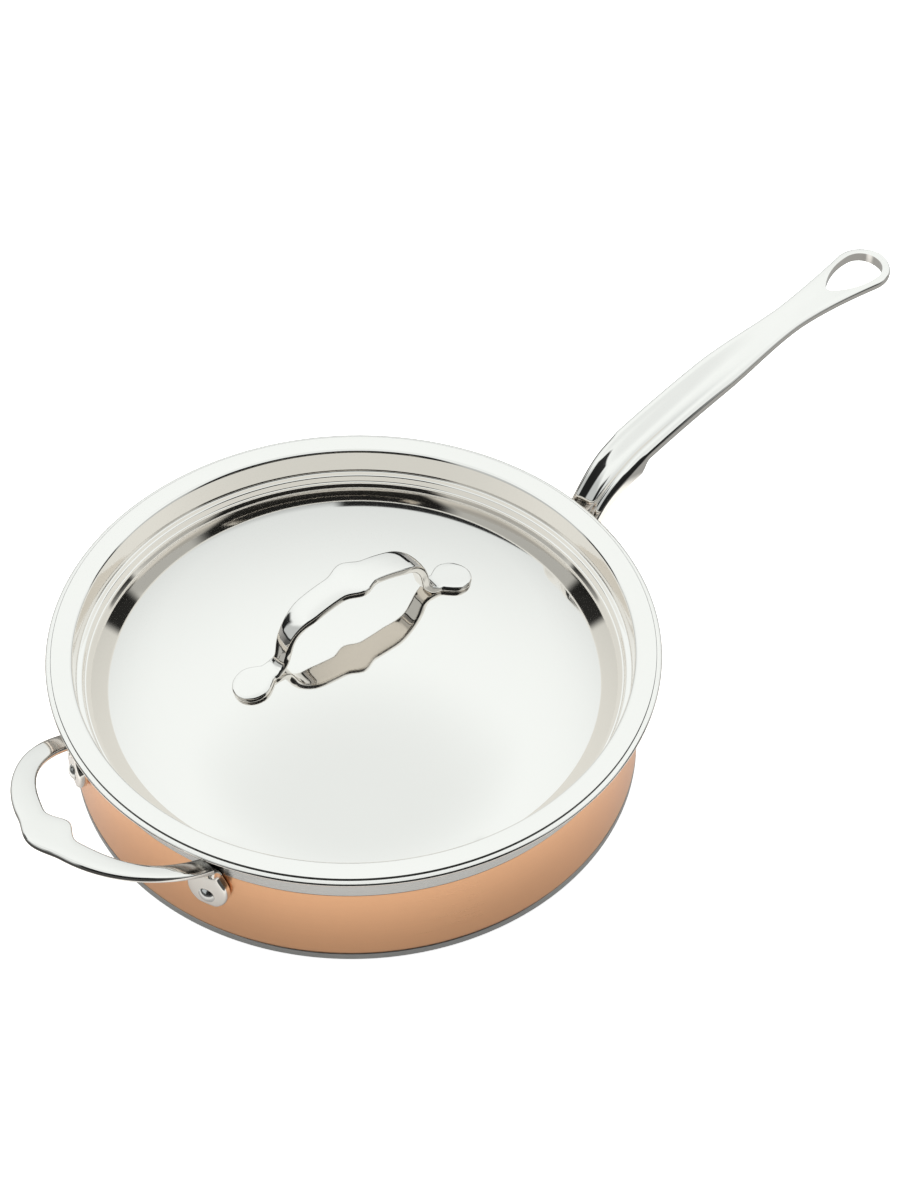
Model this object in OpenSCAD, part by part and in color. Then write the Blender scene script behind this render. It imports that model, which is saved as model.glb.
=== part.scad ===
// Covered saute pan in clad metal: a low pan with an upright wall and a flared rim, a long handle,
// a helper handle, and a domed lid with its own handle that lifts off.
// Millimetres. The base rests on Z = 0, the pan's axis is the Z axis, the long handle runs along +X.

/* [Pan] */
// Outside radius of the upright wall
wall_radius = 139.8; // [137:0.1:143]
// Height of the rim's flat top above the table
pan_height = 68.7; // [66:0.1:72]
// How far the rim's edge stands out from the wall
rim_overhang = 10.2; // [9.9:0.1:10.8]
// How far outside the wall the rim's flat top starts
rim_flat_start = 5.95; // [5.7:0.05:6.3]
// Width of the rim's flat top, on which the lid rests
rim_flat_width = 1.5; // [1.2:0.1:2]
// Radius by which the rim rolls down outside its flat top
rim_roll_radius = 9; // [8:0.1:10]
// Radius between wall and base on the copper's outside
outer_corner_radius = 6; // [5:0.1:7]
// Radius between wall and base on the cooking surface
inner_corner_radius = 8; // [6:0.1:10]
// Height of the copper's upper edge above the table
copper_height = 48; // [44:0.5:54]

/* [Layers] */
// Thickness of the copper, and of the steel band above it
copper_thickness = 0.6; // [0.4:0.1:0.8]
// Thickness of the aluminium between the skins
core_thickness = 1.2; // [1:0.1:1.6]
// Thickness of the steel cooking surface
liner_thickness = 0.5; // [0.4:0.1:0.7]
// Thickness of the magnetic steel plate under the base
plate_thickness = 1.2; // [0.9:0.1:1.6]
// Radius at the foot of the plate's upright edge
plate_edge_radius = 1.8; // [1.2:0.1:2.4]

/* [Lid] */
// Thickness of the lid's sheet
lid_thickness = 0.8; // [0.7:0.05:1]
// How far the lid's edge stays inside the rim's edge
lid_edge_inset = 2.6; // [2.2:0.1:2.9]
// Gap between the foot of the lid's recess and the pan's wall
lid_clearance = 0.86; // [0.6:0.02:1.2]
// Slope of the recess wall away from the vertical, degrees
lid_wall_draft = 3.9; // [3:0.1:5]
// Depth of the ledge in the recess below the top of the lip
lid_recess_depth = 13.8; // [13:0.1:15]
// Radius of the corner between the lip and the recess wall
lid_lip_radius = 2; // [1.5:0.1:2.5]
// Radius of the corner between the recess wall and the ledge
lid_ledge_radius = 0.8; // [0.6:0.05:1.1]
// How far the bead's top lies inside the pan's wall
lid_bead_inset = 3.8; // [3.5:0.1:4.3]
// Radius of the bead's rounded top
lid_bead_radius = 1; // [0.9:0.05:1.2]
// Slope of the bead's inner side, degrees
lid_bead_slope = 75; // [70:1:80]
// Radius of the valley between the bead and the dome
lid_valley_radius = 0.8; // [0.6:0.05:1]
// Height of the dome's middle above the rim
dome_height = 15.5; // [14.8:0.1:16.2]
// Radius of the dome's wide middle
dome_cap_radius = 320; // [312:1:330]
// Distance from the axis at which the middle passes into the shoulder
dome_cap_edge = 95; // [90:1:100]
// Radius of the dome's shoulder
dome_shoulder_radius = 134; // [128:1:140]

/* [Lid handle] */
// Turn of the lid's handle about the axis, degrees
lid_handle_turn = -4.5; // [-45:0.5:45]
// Height of the arch above the rim
lid_handle_height = 48.6; // [45:0.1:52]
// Distance from the axis to the middle of each foot
lid_foot_distance = 59.5; // [58:0.5:63]
// Radius of each round foot
lid_foot_radius = 9.75; // [8.5:0.05:11]
// Thickness of each round foot
lid_foot_thickness = 3; // [2.6:0.1:3.6]
// Rounding of each foot's upper edge
lid_foot_edge = 1; // [0.6:0.1:1.4]
// Radius of the arch's flat middle
lid_arch_radius = 80; // [76:0.5:84]
// Half length of the arch's flat middle
lid_arch_half = 28.5; // [27:0.5:30]
// Radius of the arch's shoulders
lid_shoulder_radius = 23; // [22:0.5:24]
// Slope of the arch's legs, degrees
lid_leg_slope = 78; // [75:0.5:80]
// Radius between a leg and its foot
lid_heel_radius = 4.5; // [4:0.1:5.5]
// Thickness of the arch
lid_strap_thickness = 4.7; // [3.8:0.1:5]
// Width of the arch beside its wider middle
lid_strap_width = 15.2; // [13.8:0.1:16.6]
// Width of the legs
lid_leg_width = 9.4; // [8.8:0.1:10.4]
// Width of the neck between leg and foot
lid_neck_width = 8.5; // [7.6:0.1:9.4]
// Width of the thumb rest in the middle of the arch
lid_thumb_width = 22.4; // [20:0.1:24]
// Half length of the thumb rest
lid_thumb_half = 11; // [10:0.5:12]
// Rounding of the arch's edges
lid_strap_edge = 1.5; // [1:0.1:1.8]

/* [Long handle] */
// Gap between the wall and the root of the stem
stem_gap = 2.8; // [2.4:0.1:3.2]
// Height at which the stem starts to bend outward
stem_height = 29.6; // [28:0.1:31]
// Radius of the stem's bend
stem_radius = 62.7; // [60:0.1:65]
// Slope at which the bend passes into the grip, degrees
stem_slope = 16; // [14:0.5:18]
// Radius of the grip's long arc
grip_radius = 565; // [540:1:590]
// Slope of the handle's end, degrees
end_slope = 1; // [0.5:0.1:2]
// Length of the handle from the wall to its tip
handle_reach = 224.2; // [218:0.1:233]
// Width of the stem
stem_width = 20.4; // [19:0.1:22]
// Width of the grip
grip_width = 23.6; // [22.4:0.1:25.5]
// Width of the handle at its narrowest
waist_width = 17.2; // [16:0.1:18.5]
// Radius of the rounded end
loop_radius = 15; // [14.2:0.1:16]
// Depth of the stem where it reaches the grip
stem_depth = 12.2; // [11.4:0.1:13]
// Depth of the stem where it leaves the wall plate
root_depth = 3.2; // [3:0.1:3.6]
// Depth of the grip at its sides
grip_depth = 6.1; // [5.6:0.1:6.6]
// Depth of the flat end
end_depth = 4.4; // [4.1:0.1:4.8]
// Depth of the groove along the top of the grip
groove_depth = 2.4; // [1.8:0.1:2.8]
// Radius of the hanging hole's round end
hole_radius = 10.9; // [10.2:0.1:11.4]
// Radius of the hanging hole's narrow end
hole_tip_radius = 3.5; // [3:0.1:4]
// Distance between the middles of the hole's two ends
hole_length = 21.6; // [20:0.1:23]
// Radius of the hole's sides, which bulge from end to end
hole_side_radius = 35; // [32:0.5:42]

/* [Wall plates] */
// Thickness of the wall plate of each handle at its middle
pad_thickness = 5.2; // [4.8:0.1:5.6]
// Rounding of the wall plates' outer edges
pad_edge = 1.5; // [1.1:0.1:1.9]
// Width of the long handle's wall plate
pad_width = 44; // [43:0.5:47]
// Height of the lower edge of the long handle's wall plate above the table
pad_bottom = 13; // [12:0.5:14]
// Height of the plate's upper edge above the table
pad_top = 47.5; // [46.5:0.5:49]
// Width of the plate at its lower end
pad_foot_width = 30; // [28:0.5:33]
// Radius of the plate's corners
pad_corner_radius = 7; // [6:0.1:7.5]

/* [Helper handle] */
// Distance from the wall to the middle of the helper handle's round
helper_offset = -3.8; // [-5:0.1:-3]
// Outer radius of the round
helper_outer_radius = 57; // [55:0.1:59]
// Width of the strap beside the thumb rest, seen from above
helper_strap_width = 13.3; // [12:0.1:14]
// Width of the strap at the wall
helper_arm_width = 10; // [9:0.1:10.8]
// Thickness of the strap
helper_thickness = 4; // [3.6:0.1:4.6]
// Depth of the strap where it meets its wall plate
helper_root_depth = 8; // [7:0.1:9]
// Drop from the pan's rim to the strap's top at the wall
helper_rim_drop = 13.1; // [12:0.1:14.5]
// Rise of the strap's top from the wall to its farthest point
helper_rise = 19.6; // [17.5:0.1:21.5]
// Angle from the handle's middle at which the strap starts to narrow, degrees
helper_narrow_start = 20; // [18:1:24]
// Angle at which the strap has its width at the wall, degrees
helper_narrow_end = 65; // [55:1:72]
// Slope across the strap, outer edge higher, degrees
helper_tilt = 11; // [8:0.5:14]
// How far the thumb rest stands out
thumb_out = 3.5; // [2.8:0.1:4.2]
// How far the thumb rest stands in
thumb_in = 6.7; // [5.8:0.1:7.6]
// Rounding of the strap's edges
helper_edge = 1.3; // [0.9:0.1:1.6]
// Step from the middle of the strap out to the middle of its wall plate
helper_pad_step = 1.14; // [0.6:0.02:1.7]
// Radius of the rounded foot of each wall plate
helper_pad_radius = 10.9; // [10.4:0.1:11.4]
// Drop from the strap's top at the wall to the middle of that foot
helper_pad_drop = 17.6; // [16.6:0.1:19.2]
// Drop from the strap's top at the wall to each wall plate's upper edge
helper_pad_top_drop = 2; // [1.2:0.1:2.8]

/* [Rivets] */
// Radius of the wall rivets' shanks
shank_radius = 3; // [2.6:0.1:3.3]
// Radius of the rivet heads outside
head_radius = 4.25; // [4:0.05:4.6]
// Height of the rivet heads outside
head_height = 2; // [1.6:0.1:2.4]
// Radius of the rivet heads inside the pan
inner_head_radius = 5.5; // [5:0.1:6.2]
// Height of the rivet heads inside the pan
inner_head_height = 1.6; // [1.4:0.1:2.2]
// Distance from the middle plane to the two upper rivets of the long handle
rivet_spread = 15.2; // [14.9:0.1:15.6]
// Height of the long handle's two upper rivets
rivet_height = 38.5; // [38:0.1:39.5]
// Height of the long handle's lower rivet
low_rivet_height = 20.5; // [19.8:0.1:21]
// Drop from the middle of a helper wall plate's foot to its rivet
helper_rivet_drop = 3.4; // [0:0.1:4]
// Radius of the lid rivets' shanks
lid_shank_radius = 2.4; // [2:0.1:2.8]
// Length of a lid rivet's shank in its foot
lid_shank_depth = 1.9; // [1.5:0.1:2.1]
// Radius of a lid rivet's head under the lid
lid_head_radius = 5; // [4.4:0.1:5.6]
// Height of a lid rivet's head under the lid
lid_head_height = 1.2; // [0.9:0.1:1.5]
// Gap around each shank in its bore
rivet_fit = 0.1; // [0.05:0.01:0.15]
// Gap between a seated piece and the round surface under it
seat_gap = 0.05; // [0.03:0.01:0.1]

/* [Hidden] */
$fn = 120;
// Overrun of every cutting shape
over = 5;
// Straight steps in a quarter turn
corner_steps = 8;
plate_steps = 6;
fine_steps = 5;

wall_thickness = copper_thickness + core_thickness + liner_thickness;
inner_radius = wall_radius - wall_thickness;
floor_height = plate_thickness + wall_thickness;
flare_radius = rim_flat_start + wall_thickness;
flat_end = wall_radius + rim_flat_start + rim_flat_width;
rim_turn = asin((rim_overhang - rim_flat_start - rim_flat_width)/rim_roll_radius);
core_turn = rim_turn - atan(copper_thickness/(rim_roll_radius - wall_thickness/2));

lid_top = pan_height + lid_thickness;
lid_edge = wall_radius + rim_overhang - lid_edge_inset;
ledge_height = lid_top - lid_recess_depth;
recess_heading = 90 - lid_wall_draft;
cap_turn = asin(dome_cap_edge/dome_cap_radius);
cap_centre = [0, pan_height + dome_height - dome_cap_radius];
cap_normal = [sin(cap_turn), cos(cap_turn)];
shoulder_centre = cap_centre + (dome_cap_radius - dome_shoulder_radius)*cap_normal;
bead_centre = [inner_radius - lid_bead_inset, ledge_height - lid_bead_radius];
bead_start = bead_centre + lid_bead_radius*left_of(lid_bead_slope);
bead_way = [cos(lid_bead_slope), sin(lid_bead_slope)];
bead_offset = bead_start + lid_valley_radius*left_of(lid_bead_slope) - shoulder_centre;
bead_along = bead_offset*bead_way;
valley_reach = dome_shoulder_radius + lid_valley_radius;
bead_drop = bead_along - sqrt(bead_along*bead_along - bead_offset*bead_offset + valley_reach*valley_reach);
valley_centre = shoulder_centre + bead_offset - bead_drop*bead_way;
valley_ray = valley_centre - shoulder_centre;
shoulder_turn = 90 - atan2(valley_ray[1], valley_ray[0]);
recess_foot = inner_radius - lid_clearance - lid_thickness;
recess_foot_height = ledge_height + lid_ledge_radius*(1 - cos(recess_heading));
foot_centre = [recess_foot - lid_ledge_radius*sin(recess_heading), ledge_height + lid_ledge_radius];
lip_start_height = lid_top - lid_lip_radius*(1 - cos(recess_heading));
lip_start = recess_foot + (lip_start_height - recess_foot_height)/tan(recess_heading);
lip_centre = [lip_start + lid_lip_radius*sin(recess_heading), lid_top - lid_lip_radius];

foot_slope = asin(lid_foot_distance/dome_cap_radius);
foot_normal = [sin(foot_slope), cos(foot_slope)];
foot_ground = cap_centre + dome_cap_radius*foot_normal;
arch_turn = asin(lid_arch_half/lid_arch_radius);
arch_centre = [0, pan_height + lid_handle_height - lid_arch_radius];
arch_bend = arch_centre + (lid_arch_radius - lid_shoulder_radius)*[sin(arch_turn), cos(arch_turn)];
leg_normal = [sin(lid_leg_slope), cos(lid_leg_slope)];
leg_start = arch_bend + lid_shoulder_radius*leg_normal;
// The strap sinks a little under the top of its round foot
strap_sink_share = 0.17;
foot_line = foot_ground + lid_foot_thickness*(1 - strap_sink_share)*foot_normal;
heel_corner = meet(leg_start, -lid_leg_slope, foot_line, -foot_slope);

loop_x = wall_radius + handle_reach - loop_radius;
bend_centre = [wall_radius + stem_gap + stem_radius, stem_height];
bend_end = bend_centre + stem_radius*left_of(stem_slope);
grip_centre = bend_end - grip_radius*left_of(stem_slope);
grip_end = grip_centre + grip_radius*left_of(end_slope);
loop_height = grip_end[1] + (loop_x - grip_end[0])*tan(end_slope);
pad_face = wall_radius + pad_thickness;
pad_back = wall_radius - pad_thickness;

helper_centre = wall_radius + helper_offset;
helper_wall_height = pan_height - helper_rim_drop;
helper_pad_height = helper_wall_height - helper_pad_drop;
helper_rivet_height = helper_pad_height - helper_rivet_drop;
helper_line = helper_outer_radius - helper_strap_width/2;
helper_pad_angle = asin((helper_line + helper_pad_step)/pad_face);
helper_pad_y = pad_face*sin(helper_pad_angle);
helper_root_x = pad_back*cos(helper_pad_angle);

// Direction to the left of a heading
function left_of(a) = [-sin(a), cos(a)];

// A list the other way round, and a list without its first entry
function back(v) = [for (i = [len(v) - 1:-1:0]) v[i]];
function rest(v) = [for (i = [1:len(v) - 1]) v[i]];

// Arc from one heading to another, each row a point and the direction to its left
function arc(c, r, a0, a1, n) =
    [for (i = [0:n])
        let (a = a0 + (a1 - a0)*i/n, l = left_of(a), s = a1 > a0 ? -r : r)
        [c[0] + s*l[0], c[1] + s*l[1], l[0], l[1]]];

// The points of such rows, moved to the left by t
function beside(rows, t) = [for (q = rows) [q[0] + t*q[2], q[1] + t*q[3]]];

// Where the line through p with heading a meets the line through q with heading b
function meet(p, a, q, b) =
    let (d = q - p, k = (d[0]*sin(b) - d[1]*cos(b))/(cos(a)*sin(b) - sin(a)*cos(b)))
    p + k*[cos(a), sin(a)];

// Smooth passage from 0 at a to 1 at b
function ease(a, b, s) = let (t = max(0, min(1, (s - a)/(b - a)))) t*t*(3 - 2*t);

// Points of a low dome of radius r and height h, from its edge to its middle
function dome(r, h, n) =
    let (k = (r*r + h*h)/(2*h), a = asin(r/k))
    [for (i = [0:n]) [k*sin(a*(1 - i/n)), h - k + k*cos(a*(1 - i/n))]];

// Closed skin over a list of rings, each clockwise seen in the direction of travel
module loft(rings) {
    n = len(rings[0]);
    m = len(rings);
    sides = [for (k = [0:m - 2]) for (i = [0:n - 1]) let (a = k*n + i, b = k*n + (i + 1)%n) [a, b + n, b]];
    others = [for (k = [0:m - 2]) for (i = [0:n - 1]) let (a = k*n + i, b = k*n + (i + 1)%n) [a, a + n, b + n]];
    first = [[for (i = [0:n - 1]) i]];
    last = [[for (i = [0:n - 1]) m*n - 1 - i]];
    polyhedron(points = [for (ring = rings) for (p = ring) p], faces = concat(first, sides, others, last));
}

// Cross-section made whole from its half, which runs from the top's middle to the bottom's middle
function whole(half) =
    concat(
        [for (q = half) [-q[0], q[1]]],
        [for (i = [len(half) - 2:-1:1]) half[i]]);

// Rounded strap of half width h, thickness t and edge rounding e, its top's middle at 0
function strap(h, t, e) =
    whole([[0, 0], [h - 1.6*e, -0.1*e], [h - 0.62*e, -0.25*e], [h - 0.15*e, -0.7*e], [h, -1.25*e],
        [h, -t + e], [h - 0.3*e, -t + 0.3*e], [h - e, -t], [0, -t]]);

// Rows of the pan's inner surface: the floor and its corner, then the rim up to the end of the core
function pan_floor(r) =
    concat([[0, floor_height, 0, 1]], arc([inner_radius - r, floor_height + r], r, 0, 90, corner_steps));
function pan_rim() =
    concat(
        arc([inner_radius + flare_radius, pan_height - flare_radius], flare_radius, 90, 0, corner_steps),
        arc([flat_end, pan_height - rim_roll_radius], rim_roll_radius, 0, -core_turn, 3));
function rim_tip() = arc([flat_end, pan_height - rim_roll_radius], rim_roll_radius, -core_turn, -rim_turn, 1);
function inner_floor(t) = beside(pan_floor(inner_corner_radius), -t);
function outer_floor(t) = beside(pan_floor(outer_corner_radius - wall_thickness), -t);
function rim(t) = beside(pan_rim(), -t);
function tip(t) = beside(rim_tip(), -t);

skin = wall_thickness - copper_thickness;

// Rows of the lid's upper surface, from the axis outward
function lid_cap() = arc(cap_centre, dome_cap_radius, 0, -cap_turn, 6);
function lid_rows() =
    concat(
        lid_cap(),
        rest(arc(shoulder_centre, dome_shoulder_radius, -cap_turn, -shoulder_turn, 5)),
        rest(arc(valley_centre, lid_valley_radius, -shoulder_turn, lid_bead_slope, 4)),
        arc(bead_centre, lid_bead_radius, lid_bead_slope, 0, 4),
        arc(foot_centre, lid_ledge_radius, 0, recess_heading, 4),
        arc(lip_centre, lid_lip_radius, recess_heading, 0, 4),
        [[lid_edge, lid_top, 0, 1]]);

// Position of a rivet, its axis pointing away from the pan
module at_handle_rivet(i) {
    translate([0, i == 3 ? 0 : i == 2 ? -rivet_spread : rivet_spread, i == 3 ? low_rivet_height : rivet_height])
        rotate([0, 90, 0])
            children();
}

module at_helper_pad(i) {
    rotate([0, 0, i == 1 ? 180 - helper_pad_angle : 180 + helper_pad_angle])
        children();
}

module at_helper_rivet(i) {
    at_helper_pad(i)
        translate([0, 0, helper_rivet_height])
            rotate([0, 90, 0])
                children();
}

// Middle of a round foot on the dome, its axis square to the dome
module at_lid_foot(i) {
    rotate([0, 0, lid_handle_turn + 180*(i - 1)])
        translate([foot_ground[0], 0, foot_ground[1]])
            rotate([0, foot_slope, 0])
                children();
}

// Half width of the long handle at the distance x from the pan's axis
function handle_share(x) = (x - wall_radius)/handle_reach;
function handle_half(x) =
    let (s = handle_share(x), join = loop_x - 0.17*loop_radius, w = handle_share(join))
    x > join ? sqrt(max(0, loop_radius*loop_radius - (x - loop_x)*(x - loop_x)))
    : s > 0.692 ? waist_width/2 + (0.985*loop_radius - waist_width/2)*pow((s - 0.692)/(w - 0.692), 1.5)
    : (stem_width + (grip_width - stem_width)*ease(0.063, 0.156, s)
        + (waist_width - grip_width)*ease(0.444, 0.692, s))/2;

// Depth of the handle square to its path, at the distance x and the slope a
function handle_depth(x, a) =
    let (s = handle_share(x), k = ease(0.168, 0.205, s))
    (root_depth + (stem_depth - root_depth)*min(1, (90 - a)/(85 - stem_slope)))*(1 - k)
        + (grip_depth + (end_depth - grip_depth)*ease(0.3, 0.8, s))*k;

// Depth of the groove along the top
function handle_groove(x) = groove_depth*(1 - ease(0.2, 0.66, handle_share(x)));

// Cross-section of the handle: two shoulders with a groove between them, upright sides, a rounded belly
function handle_ring(p, a, h, t, g) =
    let (e = min(0.36*t, 0.28*h), k = min(0.3*t, 0.13*h), d = min(g, 0.55*t))
    [for (q = whole([[0, -d - 0.02*h], [0.22*h, -0.9*d - 0.015*h], [0.42*h, -0.55*d - 0.01*h],
        [0.58*h, -0.14*d - 0.005*h], [0.72*h, 0], [h - 0.55*e, -0.12*e], [h - 0.14*e, -0.5*e], [h, -e],
        [h, -t + e], [h - 0.3*e, -t + 0.25*e], [h - 1.1*e, -t - 0.1*k], [0.4*h, -t - 0.8*k], [0, -t - k]]))
        [p[0] - q[1]*sin(a), q[0], p[1] + q[1]*cos(a)]];

// Rows of the handle's top line: a point and the slope there
function handle_end(x) = [[x, grip_end[1] + (x - grip_end[0])*tan(end_slope)], end_slope];
function handle_line() =
    concat(
        [for (i = [0:10]) let (a = 90 - (85 - stem_slope)*i/10) [bend_centre + stem_radius*left_of(a), a]],
        [for (i = [1:4]) let (a = stem_slope + 5*(1 - i/4)) [bend_centre + stem_radius*left_of(a), a]],
        [for (i = [1:13])
            let (a = stem_slope + (end_slope - stem_slope)*i/13)
            [grip_centre + grip_radius*left_of(a), a]],
        [for (i = [1:3]) handle_end(grip_end[0] + (loop_x - grip_end[0])*i/3)],
        [for (i = [1:6]) handle_end(loop_x + loop_radius*sin(14*i))]);

module handle_stem() {
    root = [wall_radius + stem_gap, stem_height - root_depth];
    loft(concat(
        [handle_ring(root, 90, stem_width/2, 0.65*root_depth, 0)],
        [for (q = handle_line())
            let (x = q[0][0], a = q[1])
            handle_ring(q[0], a, handle_half(x), handle_depth(x, a), handle_groove(x))]));
}

// Left turn of radius r at the corner p, from one heading to another
function corner(p, r, a0, a1, n) =
    arc(p - r*tan((a1 - a0)/2)*[cos(a0), sin(a0)] + r*left_of(a0), r, a0, a1, n);

// Wall plate with a rounded outer edge, from rows of its outline that have the metal on their left
module pad(rows) {
    steps = [[pad_back, 0], [pad_face - pad_edge, 0], [pad_face - 0.62*pad_edge, 0.08*pad_edge],
        [pad_face - 0.29*pad_edge, 0.29*pad_edge], [pad_face - 0.08*pad_edge, 0.62*pad_edge],
        [pad_face, pad_edge]];
    loft([for (s = steps) [for (q = beside(rows, s[1])) [s[0], q[0], q[1]]]]);
}

// Outline of the long handle's wall plate: a shield, narrower below
function shield_rows() =
    let (w = pad_width/2, f = pad_foot_width/2, r = pad_corner_radius, a = atan2(pad_top - pad_bottom, w - f))
    concat(
        corner([f, pad_bottom], r, 0, a, 5),
        corner([w, pad_top], r, a, 180, 6),
        corner([-w, pad_top], r, 180, 360 - a, 6),
        corner([-f, pad_bottom], r, 360 - a, 360, 5));

// Outline of a helper handle's wall plate: a round foot under upright sides
function round_rows() =
    let (r = helper_pad_radius)
    concat(
        arc([0, helper_pad_height], r, -90, 90, 16),
        corner([r, helper_wall_height - helper_pad_top_drop], 0.35*r, 90, 180, 4),
        corner([-r, helper_wall_height - helper_pad_top_drop], 0.35*r, 180, 270, 4));

// Outline of the hanging hole, its round end about 0 and its sides tangent to both ends
function hole_outline() =
    let (big = hole_side_radius - hole_radius, small = hole_side_radius - hole_tip_radius,
        x = (small*small - big*big - hole_length*hole_length)/(2*hole_length),
        y = sqrt(big*big - x*x), a = 90 + atan2(x, y), b = 90 + atan2(x + hole_length, y), c = (b - a)/6)
    beside(concat(
        arc([0, 0], hole_radius, 90 - a, 90 + a, 20),
        arc([x, -y], hole_side_radius, 90 + a + c, 90 + b - c, 4),
        arc([-hole_length, 0], hole_tip_radius, 90 + b, 450 - b, 8),
        arc([x, y], hole_side_radius, 450 - b + c, 450 - a - c, 4)), 0);

module wall_bores() {
    for (i = [1:3])
        at_handle_rivet(i)
            translate([0, 0, inner_radius - over])
                cylinder(r = shank_radius + rivet_fit, h = pad_thickness + wall_thickness + 2*over);
    for (i = [1:2])
        at_helper_rivet(i)
            translate([0, 0, inner_radius - over])
                cylinder(r = shank_radius + rivet_fit, h = pad_thickness + wall_thickness + 2*over);
}

module base_plate() {
    edge = arc([wall_radius - plate_edge_radius, plate_edge_radius], plate_edge_radius, 0, 90, fine_steps);
    under = outer_floor(wall_thickness);
    seat = [for (i = [0:plate_steps + 1]) under[i]];
    color("#9a9a98")
        rotate_extrude()
            polygon(concat([[0, 0]], beside(edge, 0), [[wall_radius, seat[plate_steps + 1][1]]], back(seat)));
}

module copper_shell() {
    color("#d59a73")
        difference() {
            rotate_extrude()
                polygon(concat(
                    outer_floor(wall_thickness),
                    [[wall_radius, copper_height], [wall_radius - copper_thickness, copper_height]],
                    back(outer_floor(skin))));
            wall_bores();
        }
}

module aluminium_core() {
    color("#b9bcbf")
        difference() {
            rotate_extrude()
                polygon(concat(
                    outer_floor(skin),
                    rim(skin),
                    back(rim(liner_thickness)),
                    back(inner_floor(liner_thickness))));
            wall_bores();
        }
}

module steel_liner() {
    color("#d4d5d4")
        difference() {
            rotate_extrude()
                polygon(concat(
                    inner_floor(liner_thickness),
                    rim(liner_thickness),
                    rest(tip(liner_thickness)),
                    back(tip(0)),
                    rest(back(rim(0))),
                    back(inner_floor(0))));
            wall_bores();
        }
}

module rim_band() {
    color("#c9cac8")
        rotate_extrude()
            polygon(concat(
                [[wall_radius, copper_height]],
                rim(wall_thickness),
                rest(tip(wall_thickness)),
                back(tip(liner_thickness)),
                back(rim(skin)),
                [[wall_radius - copper_thickness, copper_height]]));
}

module long_handle() {
    color("#c3c4c2")
        difference() {
            union() {
                handle_stem();
                pad(shield_rows());
            }
            cylinder(r = wall_radius + seat_gap, h = pan_height);
            translate([loop_x, 0, loop_height - end_depth - over])
                linear_extrude(height = end_depth + 2*over)
                    polygon(hole_outline());
            wall_bores();
        }
}

// Shank and outer head of a wall rivet, along +Z
module rivet_shank(seat) {
    translate([0, 0, seat - inner_head_height/2])
        cylinder(r = shank_radius, h = pad_face - seat + inner_head_height/2 + head_height/2);
    translate([0, 0, pad_face])
        rotate_extrude()
            polygon(concat([[0, 0]], dome(head_radius, head_height, fine_steps)));
}

// Head inside the pan, a low dome that runs past the wall until it is cut to the wall's round
module inner_head(seat) {
    translate([0, 0, seat])
        rotate_extrude()
            polygon(concat(
                [[0, inner_head_height], [inner_head_radius, inner_head_height]],
                [for (q = dome(inner_head_radius, 0.7*inner_head_height, fine_steps))
                    [q[0], -q[1] - 0.3*inner_head_height]]));
}

module inner_round() {
    cylinder(r = inner_radius - seat_gap, h = pan_height);
}

module long_handle_rivet(i) {
    y = i == 3 ? 0 : rivet_spread;
    seat = sqrt(inner_radius*inner_radius - y*y);
    color("#b4b5b3")
        union() {
            intersection() {
                at_handle_rivet(i) inner_head(seat);
                inner_round();
            }
            at_handle_rivet(i) rivet_shank(seat);
        }
}

module helper_rivet(i) {
    color("#b4b5b3")
        union() {
            intersection() {
                at_helper_rivet(i) inner_head(inner_radius);
                inner_round();
            }
            at_helper_rivet(i) rivet_shank(inner_radius);
        }
}

// Cross-section of the helper handle at the angle b, moved back to the wall by s
function thumb_share(b) = abs(b) < 17 ? (1 + cos(180*b/17))/2 : 0;
function rise_share(u) = 1.25*u - 0.25*u*u;
function helper_ring(b, s) =
    let (
        wide = helper_strap_width + (helper_arm_width - helper_strap_width)*ease(helper_narrow_start, helper_narrow_end, abs(b)),
        far = helper_outer_radius + thumb_out*thumb_share(b),
        near = helper_outer_radius - wide - thumb_in*thumb_share(b),
        middle = (far + near)/2,
        half = (far - near)/2,
        wall_x = sqrt(wall_radius*wall_radius - helper_pad_y*helper_pad_y),
        u = max(0, (helper_centre - s + helper_line*cos(b) - wall_x)/(helper_centre + helper_line - wall_x)),
        t = helper_thickness + (helper_root_depth - helper_thickness)*(1 - ease(0, 0.2, u)),
        tilt = helper_tilt*(1 - ease(60, 95, abs(b))),
        z = helper_wall_height + helper_rise*rise_share(u))
    [for (q = strap(half, t, helper_edge))
        let (r = middle - q[0] - q[1]*sin(tilt))
        [s - helper_centre - r*cos(b), r*sin(b), z + (middle - q[0] - helper_line)*tan(tilt) + q[1]*cos(tilt)]];

module helper_loop() {
    arm = helper_centre - helper_root_x;
    side = [for (i = [0:11]) 90 - 6*i];
    thumb = [for (i = [0:8]) 18*(1 - i/8)];
    turns = concat(side, thumb, [for (i = [7:-1:0]) -thumb[i]], [for (i = [11:-1:0]) -side[i]]);
    loft(concat(
        [for (k = [3, 2, 1]) helper_ring(90, arm*k/3)],
        [for (b = turns) helper_ring(b, 0)],
        [for (k = [1, 2, 3]) helper_ring(-90, arm*k/3)]));
}

module helper_handle() {
    color("#c3c4c2")
        difference() {
            union() {
                helper_loop();
                for (i = [1:2])
                    at_helper_pad(i) pad(round_rows());
            }
            cylinder(r = wall_radius + seat_gap, h = pan_height);
            wall_bores();
        }
}

module lid_shell() {
    color("#dcdddc")
        difference() {
            rotate_extrude()
                polygon(concat(beside(lid_rows(), 0), back(beside(lid_rows(), -lid_thickness))));
            for (i = [1:2])
                at_lid_foot(i)
                    translate([0, 0, -over])
                        cylinder(r = lid_shank_radius + rivet_fit, h = 2*over);
        }
}

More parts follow.
